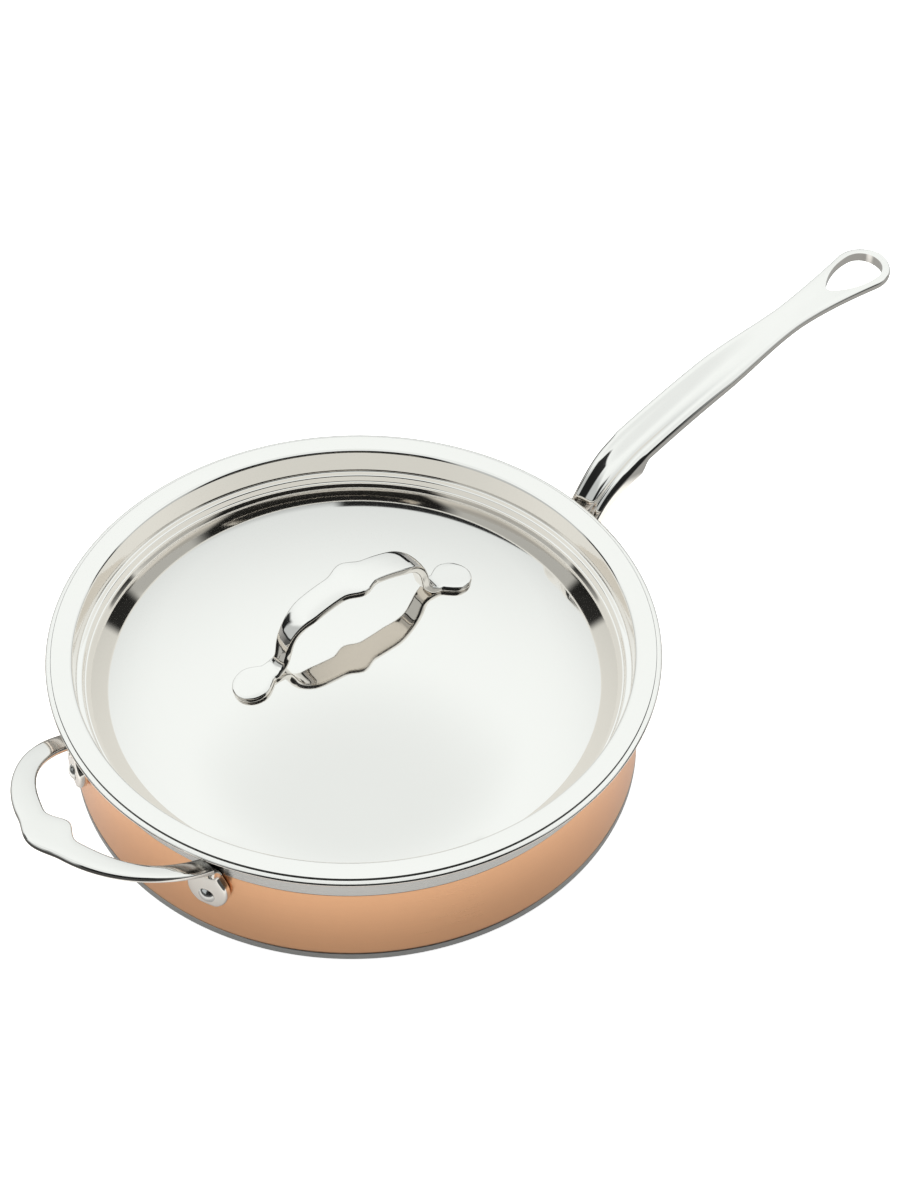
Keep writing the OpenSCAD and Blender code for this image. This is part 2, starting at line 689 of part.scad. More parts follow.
// Half of the arch, from its middle to a foot: distance, height, slope, half width, thickness
function arch_width(x) =
    (lid_strap_width + (lid_leg_width - lid_strap_width)*ease(0.9*lid_arch_half, 1.6*lid_arch_half, x)
        + (x < lid_thumb_half ? (lid_thumb_width - lid_strap_width)*(1 + cos(180*x/lid_thumb_half))/2 : 0))/2;
function arch_row(c, r, a) =
    let (p = c + r*[sin(a), cos(a)])
    [p[0], p[1], a, arch_width(p[0]), lid_strap_thickness];
function arch_rows() =
    let (b = asin(lid_thumb_half/lid_arch_radius))
    concat(
        [for (i = [0:6]) arch_row(arch_centre, lid_arch_radius, b*i/6)],
        [for (i = [1:4]) arch_row(arch_centre, lid_arch_radius, b + (arch_turn - b)*i/4)],
        [for (i = [1:8]) arch_row(arch_bend, lid_shoulder_radius, arch_turn + (lid_leg_slope - arch_turn)*i/8)],
        [for (i = [0:5])
            let (a = -lid_leg_slope + (lid_leg_slope - foot_slope)*i/5,
                q = corner(heel_corner, lid_heel_radius, -lid_leg_slope, -foot_slope, 5)[i])
            [q[0], q[1], -a, lid_neck_width/2,
                lid_strap_thickness + (1.2*lid_foot_thickness - lid_strap_thickness)*i/5]],
        [[foot_line[0], foot_line[1], foot_slope, lid_neck_width/2, 1.2*lid_foot_thickness]]);

module lid_arch() {
    half = arch_rows();
    rows = concat([for (q = back(rest(half))) [-q[0], q[1], -q[2], q[3], q[4]]], half);
    rotate([0, 0, lid_handle_turn])
        loft([for (w = rows)
            [for (q = strap(w[3], w[4], min(lid_strap_edge, 0.42*w[4])))
                [w[0] + q[1]*sin(w[2]), q[0], w[1] + q[1]*cos(w[2])]]]);
}

module lid_foot() {
    rotate_extrude()
        polygon(concat(
            [[0, -lid_foot_thickness/2], [lid_foot_radius, -lid_foot_thickness/2]],
            beside(arc([lid_foot_radius - lid_foot_edge, lid_foot_thickness - lid_foot_edge], lid_foot_edge,
                90, 180, fine_steps), 0),
            [[0, lid_foot_thickness]]));
}

module lid_handle() {
    color("#c3c4c2")
        difference() {
            union() {
                lid_arch();
                for (i = [1:2])
                    at_lid_foot(i) lid_foot();
            }
            rotate_extrude()
                polygon(concat(
                    beside(lid_cap(), seat_gap),
                    [[dome_cap_edge, ledge_height], [0, ledge_height]]));
            for (i = [1:2])
                at_lid_foot(i)
                    translate([0, 0, -over])
                        cylinder(r = lid_shank_radius + rivet_fit, h = over + lid_shank_depth + rivet_fit);
        }
}

module under_lid() {
    rotate_extrude()
        polygon(concat(
            beside(lid_cap(), -lid_thickness - seat_gap),
            [[dome_cap_edge, ledge_height], [0, ledge_height]]));
}

module lid_rivet(i) {
    inside = lid_thickness + lid_head_height/2;
    color("#b4b5b3")
        union() {
            intersection() {
                at_lid_foot(i)
                    rotate_extrude()
                        polygon(concat(
                            [for (q = back(dome(lid_head_radius, lid_head_height, fine_steps)))
                                [q[0], -q[1] - lid_thickness]],
                            [[0, -lid_thickness]]));
                under_lid();
            }
            at_lid_foot(i)
                translate([0, 0, -inside])
                    cylinder(r = lid_shank_radius, h = inside + lid_shank_depth);
        }
}

base_plate();
copper_shell();
aluminium_core();
steel_liner();
rim_band();
long_handle();
for (i = [1:3]) long_handle_rivet(i);
helper_handle();
for (i = [1:2]) helper_rivet(i);
lid_shell();
lid_handle();
for (i = [1:2]) lid_rivet(i);
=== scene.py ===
import math
import bmesh
import bpy
from mathutils import Matrix, Vector


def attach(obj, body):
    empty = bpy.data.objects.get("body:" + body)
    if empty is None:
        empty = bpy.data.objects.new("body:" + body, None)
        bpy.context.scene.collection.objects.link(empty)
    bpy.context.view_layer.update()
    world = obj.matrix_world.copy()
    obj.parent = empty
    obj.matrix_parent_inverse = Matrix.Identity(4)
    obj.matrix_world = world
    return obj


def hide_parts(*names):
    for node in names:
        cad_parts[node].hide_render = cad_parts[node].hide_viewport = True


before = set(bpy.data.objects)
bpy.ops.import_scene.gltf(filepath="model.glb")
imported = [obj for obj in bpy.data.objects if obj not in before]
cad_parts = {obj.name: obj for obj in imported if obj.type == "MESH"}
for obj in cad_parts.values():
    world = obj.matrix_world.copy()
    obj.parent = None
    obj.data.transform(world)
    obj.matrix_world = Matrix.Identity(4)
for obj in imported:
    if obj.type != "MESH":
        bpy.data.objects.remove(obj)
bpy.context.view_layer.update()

bl_info = {
    "name": "Covered saute pan",
    "version": (1, 0, 0),
    "blender": (4, 5, 0),
    "location": "View3D > Sidebar > Pan",
    "description": "Builds the pieces, finishes and studio of a covered saute pan on its packed frame",
    "category": "Object",
}

MM = 0.001


# Sizes and finishes that a user would change


class PanSizes(bpy.types.PropertyGroup):
    groove_depth: bpy.props.FloatProperty(
        name="Groove depth", description="Depth of the groove in the long handle", unit="LENGTH",
        default=0.0024, min=0.0, max=0.003)
    helper_edge: bpy.props.FloatProperty(
        name="Helper edge", description="Rounding of the helper handle's edges", unit="LENGTH",
        default=0.0015, min=0.0005, max=0.002)
    arch_edge: bpy.props.FloatProperty(
        name="Lid handle edge", description="Rounding of the lid handle's edges", unit="LENGTH",
        default=0.0013, min=0.0005, max=0.002)
    rivet_radius: bpy.props.FloatProperty(
        name="Rivet head", description="Radius of the rivet heads outside the wall", unit="LENGTH",
        default=0.00425, min=0.003, max=0.0043)
    rivet_height: bpy.props.FloatProperty(
        name="Rivet height", description="Height of the rivet heads outside the wall", unit="LENGTH",
        default=0.002, min=0.0008, max=0.002)
    turns: bpy.props.IntProperty(
        name="Steps round", description="Steps in a full turn of the round pieces",
        default=256, min=64, max=360)


class PanFinishes(bpy.types.PropertyGroup):
    copper: bpy.props.FloatVectorProperty(
        name="Copper", description="Colour of the copper", size=3, subtype="COLOR",
        default=(0.92, 0.505, 0.28))
    steel: bpy.props.FloatVectorProperty(
        name="Polished steel", description="Colour of the polished steel", size=3, subtype="COLOR",
        default=(0.80, 0.76, 0.71))
    band: bpy.props.FloatVectorProperty(
        name="Band steel", description="Colour of the brushed band", size=3, subtype="COLOR",
        default=(0.57, 0.56, 0.54))
    floor: bpy.props.FloatVectorProperty(
        name="Floor", description="Colour of the studio floor", size=3, subtype="COLOR",
        default=(0.92, 0.90, 0.87))


def size(key):
    """One of the pan's sizes, in millimetres."""
    return getattr(bpy.context.scene.pan_sizes, key) / MM


# Measures that the pieces share, in millimetres


WALL = 139.8
CREST = 68.7
SKIN, CORE, LINER = 0.6, 1.2, 0.5
THICK = SKIN + CORE + LINER
INNER = WALL - THICK
PLATE = 1.2
FLOOR = PLATE + THICK
PAD = 5.2
PAD_EDGE = 1.5
# How far a piece stays off the face that it lies on
SEAT = 0.06
# Width of the small break on a cut edge
BREAK = 0.12

LID = 0.8
LID_TOP = CREST + LID
LID_EDGE = 147.4
# The lid's wide middle: its radius, its rise above the rim and its centre's height
CAP_R, CAP_RISE = 320.0, 15.5
CAP_Z = CREST + CAP_RISE - CAP_R


# Lines and sections, in millimetres and degrees


def sine_cosine(a):
    return math.sin(math.radians(a)), math.cos(math.radians(a))


def left_of(a):
    """The unit vector to the left of a heading."""
    sine, cosine = sine_cosine(a)
    return (-sine, cosine)


def on_left(c, r, a):
    """The point that lies r to the left of c, seen along a heading."""
    left = left_of(a)
    return (c[0] + r * left[0], c[1] + r * left[1])


def arc(c, r, a0, a1, n):
    """Rows of an arc from one heading to another: a point and the direction to its left."""
    s = -r if a1 > a0 else r
    headings = [a0 + (a1 - a0) * i / n for i in range(n + 1)]
    return [on_left(c, s, a) + left_of(a) for a in headings]


def corner(p, r, a0, a1, n):
    """Rows of the rounding of radius r between two headings whose lines meet in p."""
    k = r * math.tan(math.radians((a1 - a0) / 2))
    left = left_of(a0)
    sine, cosine = sine_cosine(a0)
    c = (p[0] - k * cosine + r * left[0], p[1] - k * sine + r * left[1])
    return arc(c, r, a0, a1, n)


def beside(rows, t):
    """The points that lie t to the left of rows."""
    return [(q[0] + t * q[2], q[1] + t * q[3]) for q in rows]


def ease(a, b, s):
    """A smooth step from 0 at a to 1 at b."""
    t = max(0.0, min(1.0, (s - a) / (b - a)))
    return t * t * (3 - 2 * t)


def curved(points, n):
    """A closed loop of n points on a smooth curve through the given ones."""
    m = len(points)
    out = []
    for i in range(n):
        s = i * m / n
        k = int(s)
        t = s - k
        p = [points[(k + j - 1) % m] for j in range(4)]
        out.append(tuple(
            0.5 * (2 * p[1][d] + (p[2][d] - p[0][d]) * t
                   + (2 * p[0][d] - 5 * p[1][d] + 4 * p[2][d] - p[3][d]) * t * t
                   + (3 * p[1][d] - p[0][d] - 3 * p[2][d] + p[3][d]) * t * t * t)
            for d in range(len(p[1]))))
    return out


def whole(half):
    """A section made whole from its half, from the top's middle to the bottom's middle."""
    return [(-u, v) for u, v in half] + [half[i] for i in range(len(half) - 2, 0, -1)]


def strap_section(h, t, e, crown):
    """A rounded strap of half width h, thickness t and edge rounding e, its top's middle at 0."""
    e = min(e, 0.48 * t, 0.9 * h)
    flat = h - e
    half = [(0, 0), (0.35 * flat, -0.06 * crown), (0.7 * flat, -0.3 * crown), (flat, -crown)]
    for a in (72, 54, 36, 18, 0):
        sine, cosine = sine_cosine(a)
        half.append((flat + e * cosine, -crown - e + e * sine))
    half.append((h, -0.5 * (crown + e) - 0.5 * (t - e)))
    for a in (0, -18, -36, -54, -72, -90):
        sine, cosine = sine_cosine(a)
        half.append((flat + e * cosine, -t + e + e * sine))
    half += [(0.6 * flat, -t), (0, -t)]
    return whole(half)


# Modelling by hand


# Points closer than this are one point, and edges shorter than half of it go, in metres
MERGE = 0.000002


def deselect():
    if bpy.context.object and bpy.context.object.mode != "OBJECT":
        bpy.ops.object.mode_set(mode="OBJECT")
    bpy.ops.object.select_all(action="DESELECT")


def named(name):
    """The primitive just added, under its name and with its place in its mesh."""
    obj = bpy.context.object
    obj.name = name
    obj.data.name = name
    bpy.ops.object.transform_apply(location=True, rotation=True, scale=True)
    return obj


def turned(name, outline, turns):
    """A closed outline of radius and height in mm, extruded point by point and spun round Z."""
    deselect()
    bpy.ops.mesh.primitive_plane_add(size=MM, location=(outline[0][0] * MM, 0, outline[0][1] * MM))
    obj = named(name)
    bpy.ops.object.mode_set(mode="EDIT")
    bpy.ops.mesh.select_all(action="SELECT")
    bpy.ops.mesh.merge(type="CENTER")
    for p, q in zip(outline, outline[1:] + outline[:1]):
        bpy.ops.mesh.extrude_region_move(
            TRANSFORM_OT_translate={"value": ((q[0] - p[0]) * MM, 0, (q[1] - p[1]) * MM)})
    bpy.ops.mesh.select_all(action="SELECT")
    bpy.ops.mesh.remove_doubles(threshold=MERGE)
    bpy.ops.mesh.select_all(action="SELECT")
    bpy.ops.mesh.spin(
        steps=turns, angle=2 * math.pi, center=(0, 0, 0), axis=(0, 0, 1), use_auto_merge=True)
    clean_faces()
    bpy.ops.object.mode_set(mode="OBJECT")
    return obj


def clean_faces():
    bpy.ops.mesh.select_all(action="SELECT")
    bpy.ops.mesh.remove_doubles(threshold=MERGE)
    bpy.ops.mesh.dissolve_degenerate(threshold=MERGE / 2)
    bpy.ops.mesh.select_all(action="SELECT")
    bpy.ops.mesh.normals_make_consistent(inside=False)


def drawn_out(name, rings):
    """A bar that starts as a filled circle and is extruded once for each ring of points, in mm."""
    n = len(rings[0])
    deselect()
    bpy.ops.mesh.primitive_circle_add(vertices=n, radius=0.01, fill_type="NGON", location=(0, 0, 0))
    obj = named(name)
    bpy.ops.object.mode_set(mode="EDIT")
    bpy.ops.mesh.select_all(action="SELECT")
    mesh = bmesh.from_edit_mesh(obj.data)
    mesh.verts.ensure_lookup_table()
    order = {mesh.verts[i].index: i for i in range(n)}
    for i in range(n):
        mesh.verts[i].co = Vector(rings[0][i]) * MM
    for ring in rings[1:]:
        before = len(mesh.verts)
        bpy.ops.mesh.extrude_region_move()
        mesh = bmesh.from_edit_mesh(obj.data)
        mesh.verts.ensure_lookup_table()
        following = {}
        for vert in mesh.verts[before:]:
            for edge in vert.link_edges:
                other = edge.other_vert(vert).index
                if other < before and other in order:
                    following[vert.index] = order[other]
                    vert.co = Vector(ring[order[other]]) * MM
        order = following
    bmesh.update_edit_mesh(obj.data)
    mesh.faces.ensure_lookup_table()
    if not any(len(f.verts) == n and all(v.index < n for v in f.verts) for f in mesh.faces):
        mesh.faces.new([mesh.verts[i] for i in range(n)])
        bmesh.update_edit_mesh(obj.data)
    clean_faces()
    bpy.ops.object.mode_set(mode="OBJECT")
    return obj


def select_only(obj):
    deselect()
    obj.select_set(True)
    bpy.context.view_layer.objects.active = obj


def smooth(obj, angle):
    select_only(obj)
    bpy.ops.object.shade_smooth_by_angle(angle=math.radians(angle))


def apply_modifier(obj, kind, **settings):
    select_only(obj)
    bpy.ops.object.modifier_add(type=kind)
    modifier = obj.modifiers[-1]
    for key, value in settings.items():
        setattr(modifier, key, value)
    bpy.ops.object.modifier_apply(modifier=modifier.name)


def cut(obj, cutter):
    apply_modifier(obj, "BOOLEAN", operation="DIFFERENCE", solver="EXACT", object=cutter)
    bpy.data.objects.remove(cutter, do_unlink=True)


def joined(name, parts):
    deselect()
    for part in parts:
        part.select_set(True)
    bpy.context.view_layer.objects.active = parts[0]
    bpy.ops.object.join()
    obj = bpy.context.object
    obj.name = name
    obj.data.name = name
    return obj


def finish_piece(obj, body, slot, look, angle, *nodes):
    """Smooth and paint a piece, and tell the frame its body and the nodes it replaces; the slot is not used.
    """
    smooth(obj, angle)
    obj.data.materials.clear()
    obj.data.materials.append(finish(look))
    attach(obj, body)
    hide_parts(*nodes)


# Finishes


def new_group(name, inputs, outputs):
    """An empty shader group with its sockets, and its input and output nodes."""
    group = bpy.data.node_groups.new(name, "ShaderNodeTree")
    for socket, value in inputs:
        made = group.interface.new_socket(socket, in_out="INPUT", socket_type="NodeSocketFloat")
        made.default_value = value
    for socket in outputs:
        group.interface.new_socket(socket, in_out="OUTPUT", socket_type="NodeSocketFloat")
    return group, group.nodes.new("NodeGroupInput"), group.nodes.new("NodeGroupOutput")


def add_node(tree, kind, inputs, **settings):
    """A shader node with its settings, whose inputs take numbers or the outputs of other nodes."""
    node = tree.nodes.new("ShaderNode" + kind)
    for key, value in settings.items():
        setattr(node, key, value)
    for key, value in inputs.items():
        if isinstance(value, bpy.types.NodeSocket):
            tree.links.new(value, node.inputs[key])
        else:
            node.inputs[key].default_value = value
    return node


def maths(tree, operation, *values):
    return add_node(tree, "Math", dict(enumerate(values)), operation=operation).outputs[0]


def coordinates(tree, space="Object"):
    """The three coordinates of a point in a texture space."""
    place = add_node(tree, "TexCoord", {})
    return add_node(tree, "SeparateXYZ", {0: place.outputs[space]}).outputs


def off_axis(tree, x, y):
    """The distance of a point from the Z axis."""
    squares = [maths(tree, "MULTIPLY", value, value) for value in (x, y)]
    return maths(tree, "SQRT", maths(tree, "ADD", *squares))


def new_material(name):
    material = bpy.data.materials.new(name)
    material.use_nodes = True
    return material, material.node_tree, material.node_tree.nodes["Principled BSDF"]


def paint(tree, shader, colour, shade):
    """A colour times a shade, as the shader's base colour."""
    tint = add_node(tree, "VectorMath", {0: colour, "Scale": shade}, operation="SCALE")
    tree.links.new(tint.outputs[0], shader.inputs["Base Color"])


def turned_lines():
    """Fine lines left by turning and polishing round the Z axis: a value and a height."""
    group, given, out = new_group(
        "Turned lines", [("Fineness", 900.0), ("Length", 4.0), ("Depth", 0.5)], ["Value", "Height"])
    fineness, length, depth = (given.outputs[key] for key in ("Fineness", "Length", "Depth"))
    x, y, z = coordinates(group)
    radius = off_axis(group, x, y)
    safe = maths(group, "MAXIMUM", radius, 0.0001)
    place = [maths(group, "MULTIPLY", maths(group, "DIVIDE", value, safe), length) for value in (x, y)]
    place.append(maths(group, "MULTIPLY", z, fineness))
    vector = add_node(group, "CombineXYZ", dict(enumerate(place))).outputs[0]
    noise = add_node(group, "TexNoise", {
        "Vector": vector, "W": maths(group, "MULTIPLY", radius, fineness), "Scale": 1.0, "Detail": 4.0,
    }, noise_dimensions="4D").outputs[0]
    group.links.new(noise, out.inputs["Value"])
    group.links.new(maths(group, "MULTIPLY", noise, depth), out.inputs["Height"])
    return group


def soft_clouds():
    """Slow unevenness of a polished or handled surface, between 0 and 1."""
    group, given, out = new_group("Soft clouds", [("Size", 30.0), ("Contrast", 1.0)], ["Value"])
    place = add_node(group, "TexCoord", {})
    noise = add_node(group, "TexNoise", {
        "Vector": place.outputs["Object"], "Scale": given.outputs["Size"], "Detail": 3.0, "Roughness": 0.5})
    centred = maths(group, "SUBTRACT", noise.outputs[0], 0.5)
    spread = maths(group, "MULTIPLY_ADD", centred, given.outputs["Contrast"], 0.5)
    limited = maths(group, "MINIMUM", maths(group, "MAXIMUM", spread, 0.0), 1.0)
    group.links.new(limited, out.inputs["Value"])
    return group


def hairlines():
    """Stray hairlines of a polished casting: a value near 0, and near 1 on the lines."""
    group, given, out = new_group("Hairlines", [("Size", 160.0)], ["Value"])
    place = add_node(group, "TexCoord", {})
    families = []
    for turn, stretch in (((0.3, 0.0, 0.7), (1.0, 9.0, 3.0)), ((0.3, 0.2, -0.6), (7.0, 1.0, 4.0))):
        mapping = add_node(group, "Mapping", {
            "Vector": place.outputs["Object"], "Rotation": turn, "Scale": stretch})
        noise = add_node(group, "TexNoise", {
            "Vector": mapping.outputs[0], "Scale": given.outputs["Size"], "Detail": 5.0})
        near = maths(group, "ABSOLUTE", maths(group, "SUBTRACT", noise.outputs[0], 0.5))
        limited = maths(group, "MINIMUM", maths(group, "MULTIPLY", near, 60.0), 1.0)
        families.append(maths(group, "SUBTRACT", 1.0, limited))
    group.links.new(maths(group, "MAXIMUM", *families), out.inputs["Value"])
    return group


MAKERS = {"Turned lines": turned_lines, "Soft clouds": soft_clouds, "Hairlines": hairlines}
GROUPS = {}


def group_node(tree, name, **values):
    """A node of one of the shader groups, which is made when it is first asked for."""
    if name not in GROUPS:
        GROUPS[name] = MAKERS[name]()
    node = tree.nodes.new("ShaderNodeGroup")
    node.node_tree = GROUPS[name]
    for key, value in values.items():
        node.inputs[key].default_value = value
    return node


def metal(name, colour, rough, cloud=(30.0, 1.0), cloud_rough=0.03, cloud_shade=0.04, lines=None,
          line_rough=0.0, line_bump=0.0, line_shade=0.0, hair=0.0, painted_shade_radius=0.0):
    """A metal with soft clouds, turned lines and hairlines; beyond a radius from the axis it is duller and
    darkened by painted shade.
    """
    # Roughness of the dull outer edge, and the painted shade that darkens it
    cut_rough, painted_edge_shade = 0.3, 0.08
    material, tree, shader = new_material(name)
    shader.inputs["Metallic"].default_value = 1.0
    clouds = group_node(tree, "Soft clouds", Size=cloud[0], Contrast=cloud[1]).outputs["Value"]
    centred = maths(tree, "SUBTRACT", clouds, 0.5)
    roughness = maths(tree, "MULTIPLY_ADD", centred, cloud_rough, rough)
    shade = maths(tree, "MULTIPLY_ADD", centred, cloud_shade, 1.0)
    if lines:
        drawn = group_node(tree, "Turned lines", Fineness=lines[0], Length=lines[1], Depth=1.0)
        value = maths(tree, "SUBTRACT", drawn.outputs["Value"], 0.5)
        roughness = maths(tree, "MULTIPLY_ADD", value, line_rough, roughness)
        shade = maths(tree, "MULTIPLY_ADD", value, line_shade, shade)
        if line_bump:
            bump = add_node(tree, "Bump", {
                "Strength": 0.6, "Distance": line_bump, "Height": drawn.outputs["Height"]})
            tree.links.new(bump.outputs[0], shader.inputs["Normal"])
    if hair:
        scratches = group_node(tree, "Hairlines").outputs["Value"]
        roughness = maths(tree, "MULTIPLY_ADD", scratches, hair, roughness)
    # Painted shade: past the given radius the outer edge is darkened to a dark line, as where the lid meets
    # the rim, and made rougher
    if painted_shade_radius:
        x, y, z = coordinates(tree)
        inside = maths(tree, "LESS_THAN", off_axis(tree, x, y), painted_shade_radius)
        outside = maths(tree, "SUBTRACT", 1.0, inside)
        roughness = maths(tree, "MULTIPLY_ADD", outside, cut_rough, roughness)
        darker = maths(tree, "MULTIPLY_ADD", inside, 1 - painted_edge_shade, painted_edge_shade)
        shade = maths(tree, "MULTIPLY", shade, darker)
    tree.links.new(maths(tree, "MAXIMUM", roughness, 0.02), shader.inputs["Roughness"])
    paint(tree, shader, colour, shade)
    return material


# How each metal looks; a colour that is a name is one of the user's finishes
LOOKS = {
    "Satin copper": dict(
        colour="copper", rough=0.30, cloud=(14.0, 1.0), cloud_rough=0.06, cloud_shade=0.05,
        lines=(1500.0, 3.0), line_rough=0.10, line_bump=0.00001, line_shade=0.05),
    "Band steel": dict(
        colour="band", rough=0.28, lines=(2200.0, 3.0), line_rough=0.12, line_bump=0.00001, line_shade=0.10),
    "Base steel": dict(
        colour=(0.43, 0.43, 0.42), rough=0.34, cloud_shade=0.10, lines=(1600.0, 3.0), line_rough=0.12,
        line_bump=0.00001, line_shade=0.10),
    "Pan steel": dict(
        colour="steel", rough=0.12, lines=(1300.0, 2.0), line_rough=0.06, line_shade=0.03, hair=0.05),
    "Lid steel": dict(
        colour="steel", rough=0.045, cloud=(10.0, 1.0), cloud_rough=0.02, cloud_shade=0.02,
        # The lid's last 0.2 mm of top and its edge are darkened by painted shade, the dark line where lid
        # meets rim
        lines=(500.0, 1.5), line_rough=0.02, line_shade=0.01, hair=0.03, painted_shade_radius=(LID_EDGE - 0.2) * MM),
    "Cast steel": dict(
        colour="steel", rough=0.055, cloud=(60.0, 1.0), cloud_rough=0.03, cloud_shade=0.03, hair=0.04),
    "Rivet steel": dict(
        colour=(0.70, 0.69, 0.67), rough=0.14, cloud=(300.0, 1.0), cloud_rough=0.08, cloud_shade=0.08,
        hair=0.10),
    "Core aluminium": dict(
        colour=(0.78, 0.79, 0.80), rough=0.35, lines=(1200.0, 3.0), line_rough=0.10, line_shade=0.06),
}
FINISHES = {}


def finish(name):
    """The material of that name, which is made when it is first asked for."""
    if name not in FINISHES:
        look = dict(LOOKS[name])
        colour = look.pop("colour")
        if isinstance(colour, str):
            colour = tuple(getattr(bpy.context.scene.pan_finishes, colour))
        FINISHES[name] = metal(name, colour, **look)
    return FINISHES[name]


# Outlines of the round pieces


RIM_OUT = 10.2
FLAT_START, FLAT_WIDTH = 5.95, 1.5
FLARE = FLAT_START + THICK
FLAT_END = WALL + FLAT_START + FLAT_WIDTH
ROLL = 9.0
RIM_TURN = math.degrees(math.asin((RIM_OUT - FLAT_START - FLAT_WIDTH) / ROLL))
OUTER_ROUND, INNER_ROUND = 3.7, 8.0
PLATE_EDGE, PLATE_TOP = 1.8, 4.85
COPPER_TOP = 48.0
# Half the width of the groove between the copper and the steel band
SEAM = 0.15


def floor_rows(r):
    """Rows of the cooking floor and of its rounding of radius r into the wall."""
    return [(0.0, FLOOR, 0.0, 1.0)] + arc((INNER - r, FLOOR + r), r, 0, 90, 16)


def rim_rows():
    """Rows of the flare, the rim's flat top and its roll."""
    return (arc((INNER + FLARE, CREST - FLARE), FLARE, 90, 0, 28)
            + arc((FLAT_END, CREST - ROLL), ROLL, 0, -RIM_TURN, 6))


def rounded_tip(outer, inner):
    """A half round from the last point of one line to the last point of the other, bulging forward."""
    steps = 8
    (x0, z0), (x1, z1) = outer, inner
    cx, cz = (x0 + x1) / 2, (z0 + z1) / 2
    rx, rz = (x0 - x1) / 2, (z0 - z1) / 2
    out = []
    for i in range(1, steps):
        a = math.pi * i / steps
        out.append((cx + rx * math.cos(a) - rz * math.sin(a), cz + rz * math.cos(a) + rx * math.sin(a)))
    return out


class OBJECT_OT_pan_body(bpy.types.Operator):
    """Turn the base plate, the copper, the steel band and the steel liner with the rim"""
    bl_idname = "object.pan_body"
    bl_label = "Pan body"

    def execute(self, context):
        turns = context.scene.pan_sizes.turns
        under = beside(floor_rows(OUTER_ROUND), -THICK)
        edge = arc((WALL - PLATE_EDGE, PLATE_EDGE), PLATE_EDGE, 0, 90, 8)
        last = next(i for i, p in enumerate(under) if p[1] > PLATE_TOP)
        height = under[last][1]
        plate = ([(0.0, 0.0)] + beside(edge, 0) + [(WALL, height - 0.25), (WALL - 0.2, height)]
                 + under[last::-1])
        piece = turned("base_plate_finished", plate, turns)
        finish_piece(piece, "pan", "base_steel", "Base steel", 30, "base_plate")

        copper = (under + [(WALL, COPPER_TOP - SEAM), (WALL - BREAK, COPPER_TOP), (WALL - SKIN, COPPER_TOP)]
                  + beside(floor_rows(OUTER_ROUND), -(THICK - SKIN))[::-1])
        piece = turned("copper_finished", copper, turns)
        finish_piece(piece, "pan", "copper", "Satin copper", 30, "copper_shell")

        rim = rim_rows()
        band = ([(WALL, COPPER_TOP + SEAM)] + beside(rim, -THICK)[:-2] + beside(rim, -(THICK - SKIN))[-3::-1]
                + [(WALL - SKIN, COPPER_TOP), (WALL - BREAK, COPPER_TOP)])
        piece = turned("rim_band_finished", band, turns)
        finish_piece(piece, "pan", "band_steel", "Band steel", 30, "rim_band")

        upper = beside(floor_rows(INNER_ROUND) + rim, 0)[:-2]
        lower = beside(floor_rows(INNER_ROUND) + rim, -LINER)[:-3] + beside(rim, -THICK)[-3:-2]
        liner = lower + rounded_tip(lower[-1], upper[-1]) + upper[::-1]
        piece = turned("steel_liner_finished", liner, turns)
        finish_piece(piece, "pan", "pan_steel", "Pan steel", 30, "steel_liner")
        return {"FINISHED"}


def lid_rows():
    """Rows of the lid's upper face from the dome's middle over valley, bead and ledge to the lip."""
    cap_edge, dome_r = 95.0, 134.0
    bead_in, bead_r, bead_slope, valley_r = 3.8, 1.0, 75.0, 0.8
    depth, clearance, wall_slope, ledge_r, lip_r = 13.8, 0.86, 90 - 3.9, 0.8, 2.0

    cap_turn = math.degrees(math.asin(cap_edge / CAP_R))
    cap_c = Vector((0, CAP_Z))
    dome_c = cap_c + (CAP_R - dome_r) * Vector(sine_cosine(cap_turn))
    ledge = LID_TOP - depth
    bead_c = Vector((INNER - bead_in, ledge - bead_r))
    start = bead_c + bead_r * Vector(left_of(bead_slope))
    way = Vector(sine_cosine(bead_slope)[::-1])
    offset = start + valley_r * Vector(left_of(bead_slope)) - dome_c
    along = offset.dot(way)
    drop = along - math.sqrt(along * along - offset.dot(offset) + (dome_r + valley_r) ** 2)
    valley_c = dome_c + offset - drop * way
    ray = valley_c - dome_c
    dome_turn = 90 - math.degrees(math.atan2(ray.y, ray.x))

    sine, cosine = sine_cosine(wall_slope)
    foot_x = INNER - clearance - LID
    foot_z = ledge + ledge_r * (1 - cosine)
    foot_c = (foot_x - ledge_r * sine, ledge + ledge_r)
    lip_z = LID_TOP - lip_r * (1 - cosine)
    lip_x = foot_x + (lip_z - foot_z) / math.tan(math.radians(wall_slope))
    lip_c = (lip_x + lip_r * sine, LID_TOP - lip_r)
    return (arc(cap_c, CAP_R, 0, -cap_turn, 24)
            + arc(dome_c, dome_r, -cap_turn, -dome_turn, 20)[1:]
            + arc(valley_c, valley_r, -dome_turn, bead_slope, 10)[1:]
            + arc(bead_c, bead_r, bead_slope, 0, 10)
            + arc(foot_c, ledge_r, 0, wall_slope, 8)
            + arc(lip_c, lip_r, wall_slope, 0, 12)
            + [(LID_EDGE - 0.4, LID_TOP, 0.0, 1.0)])


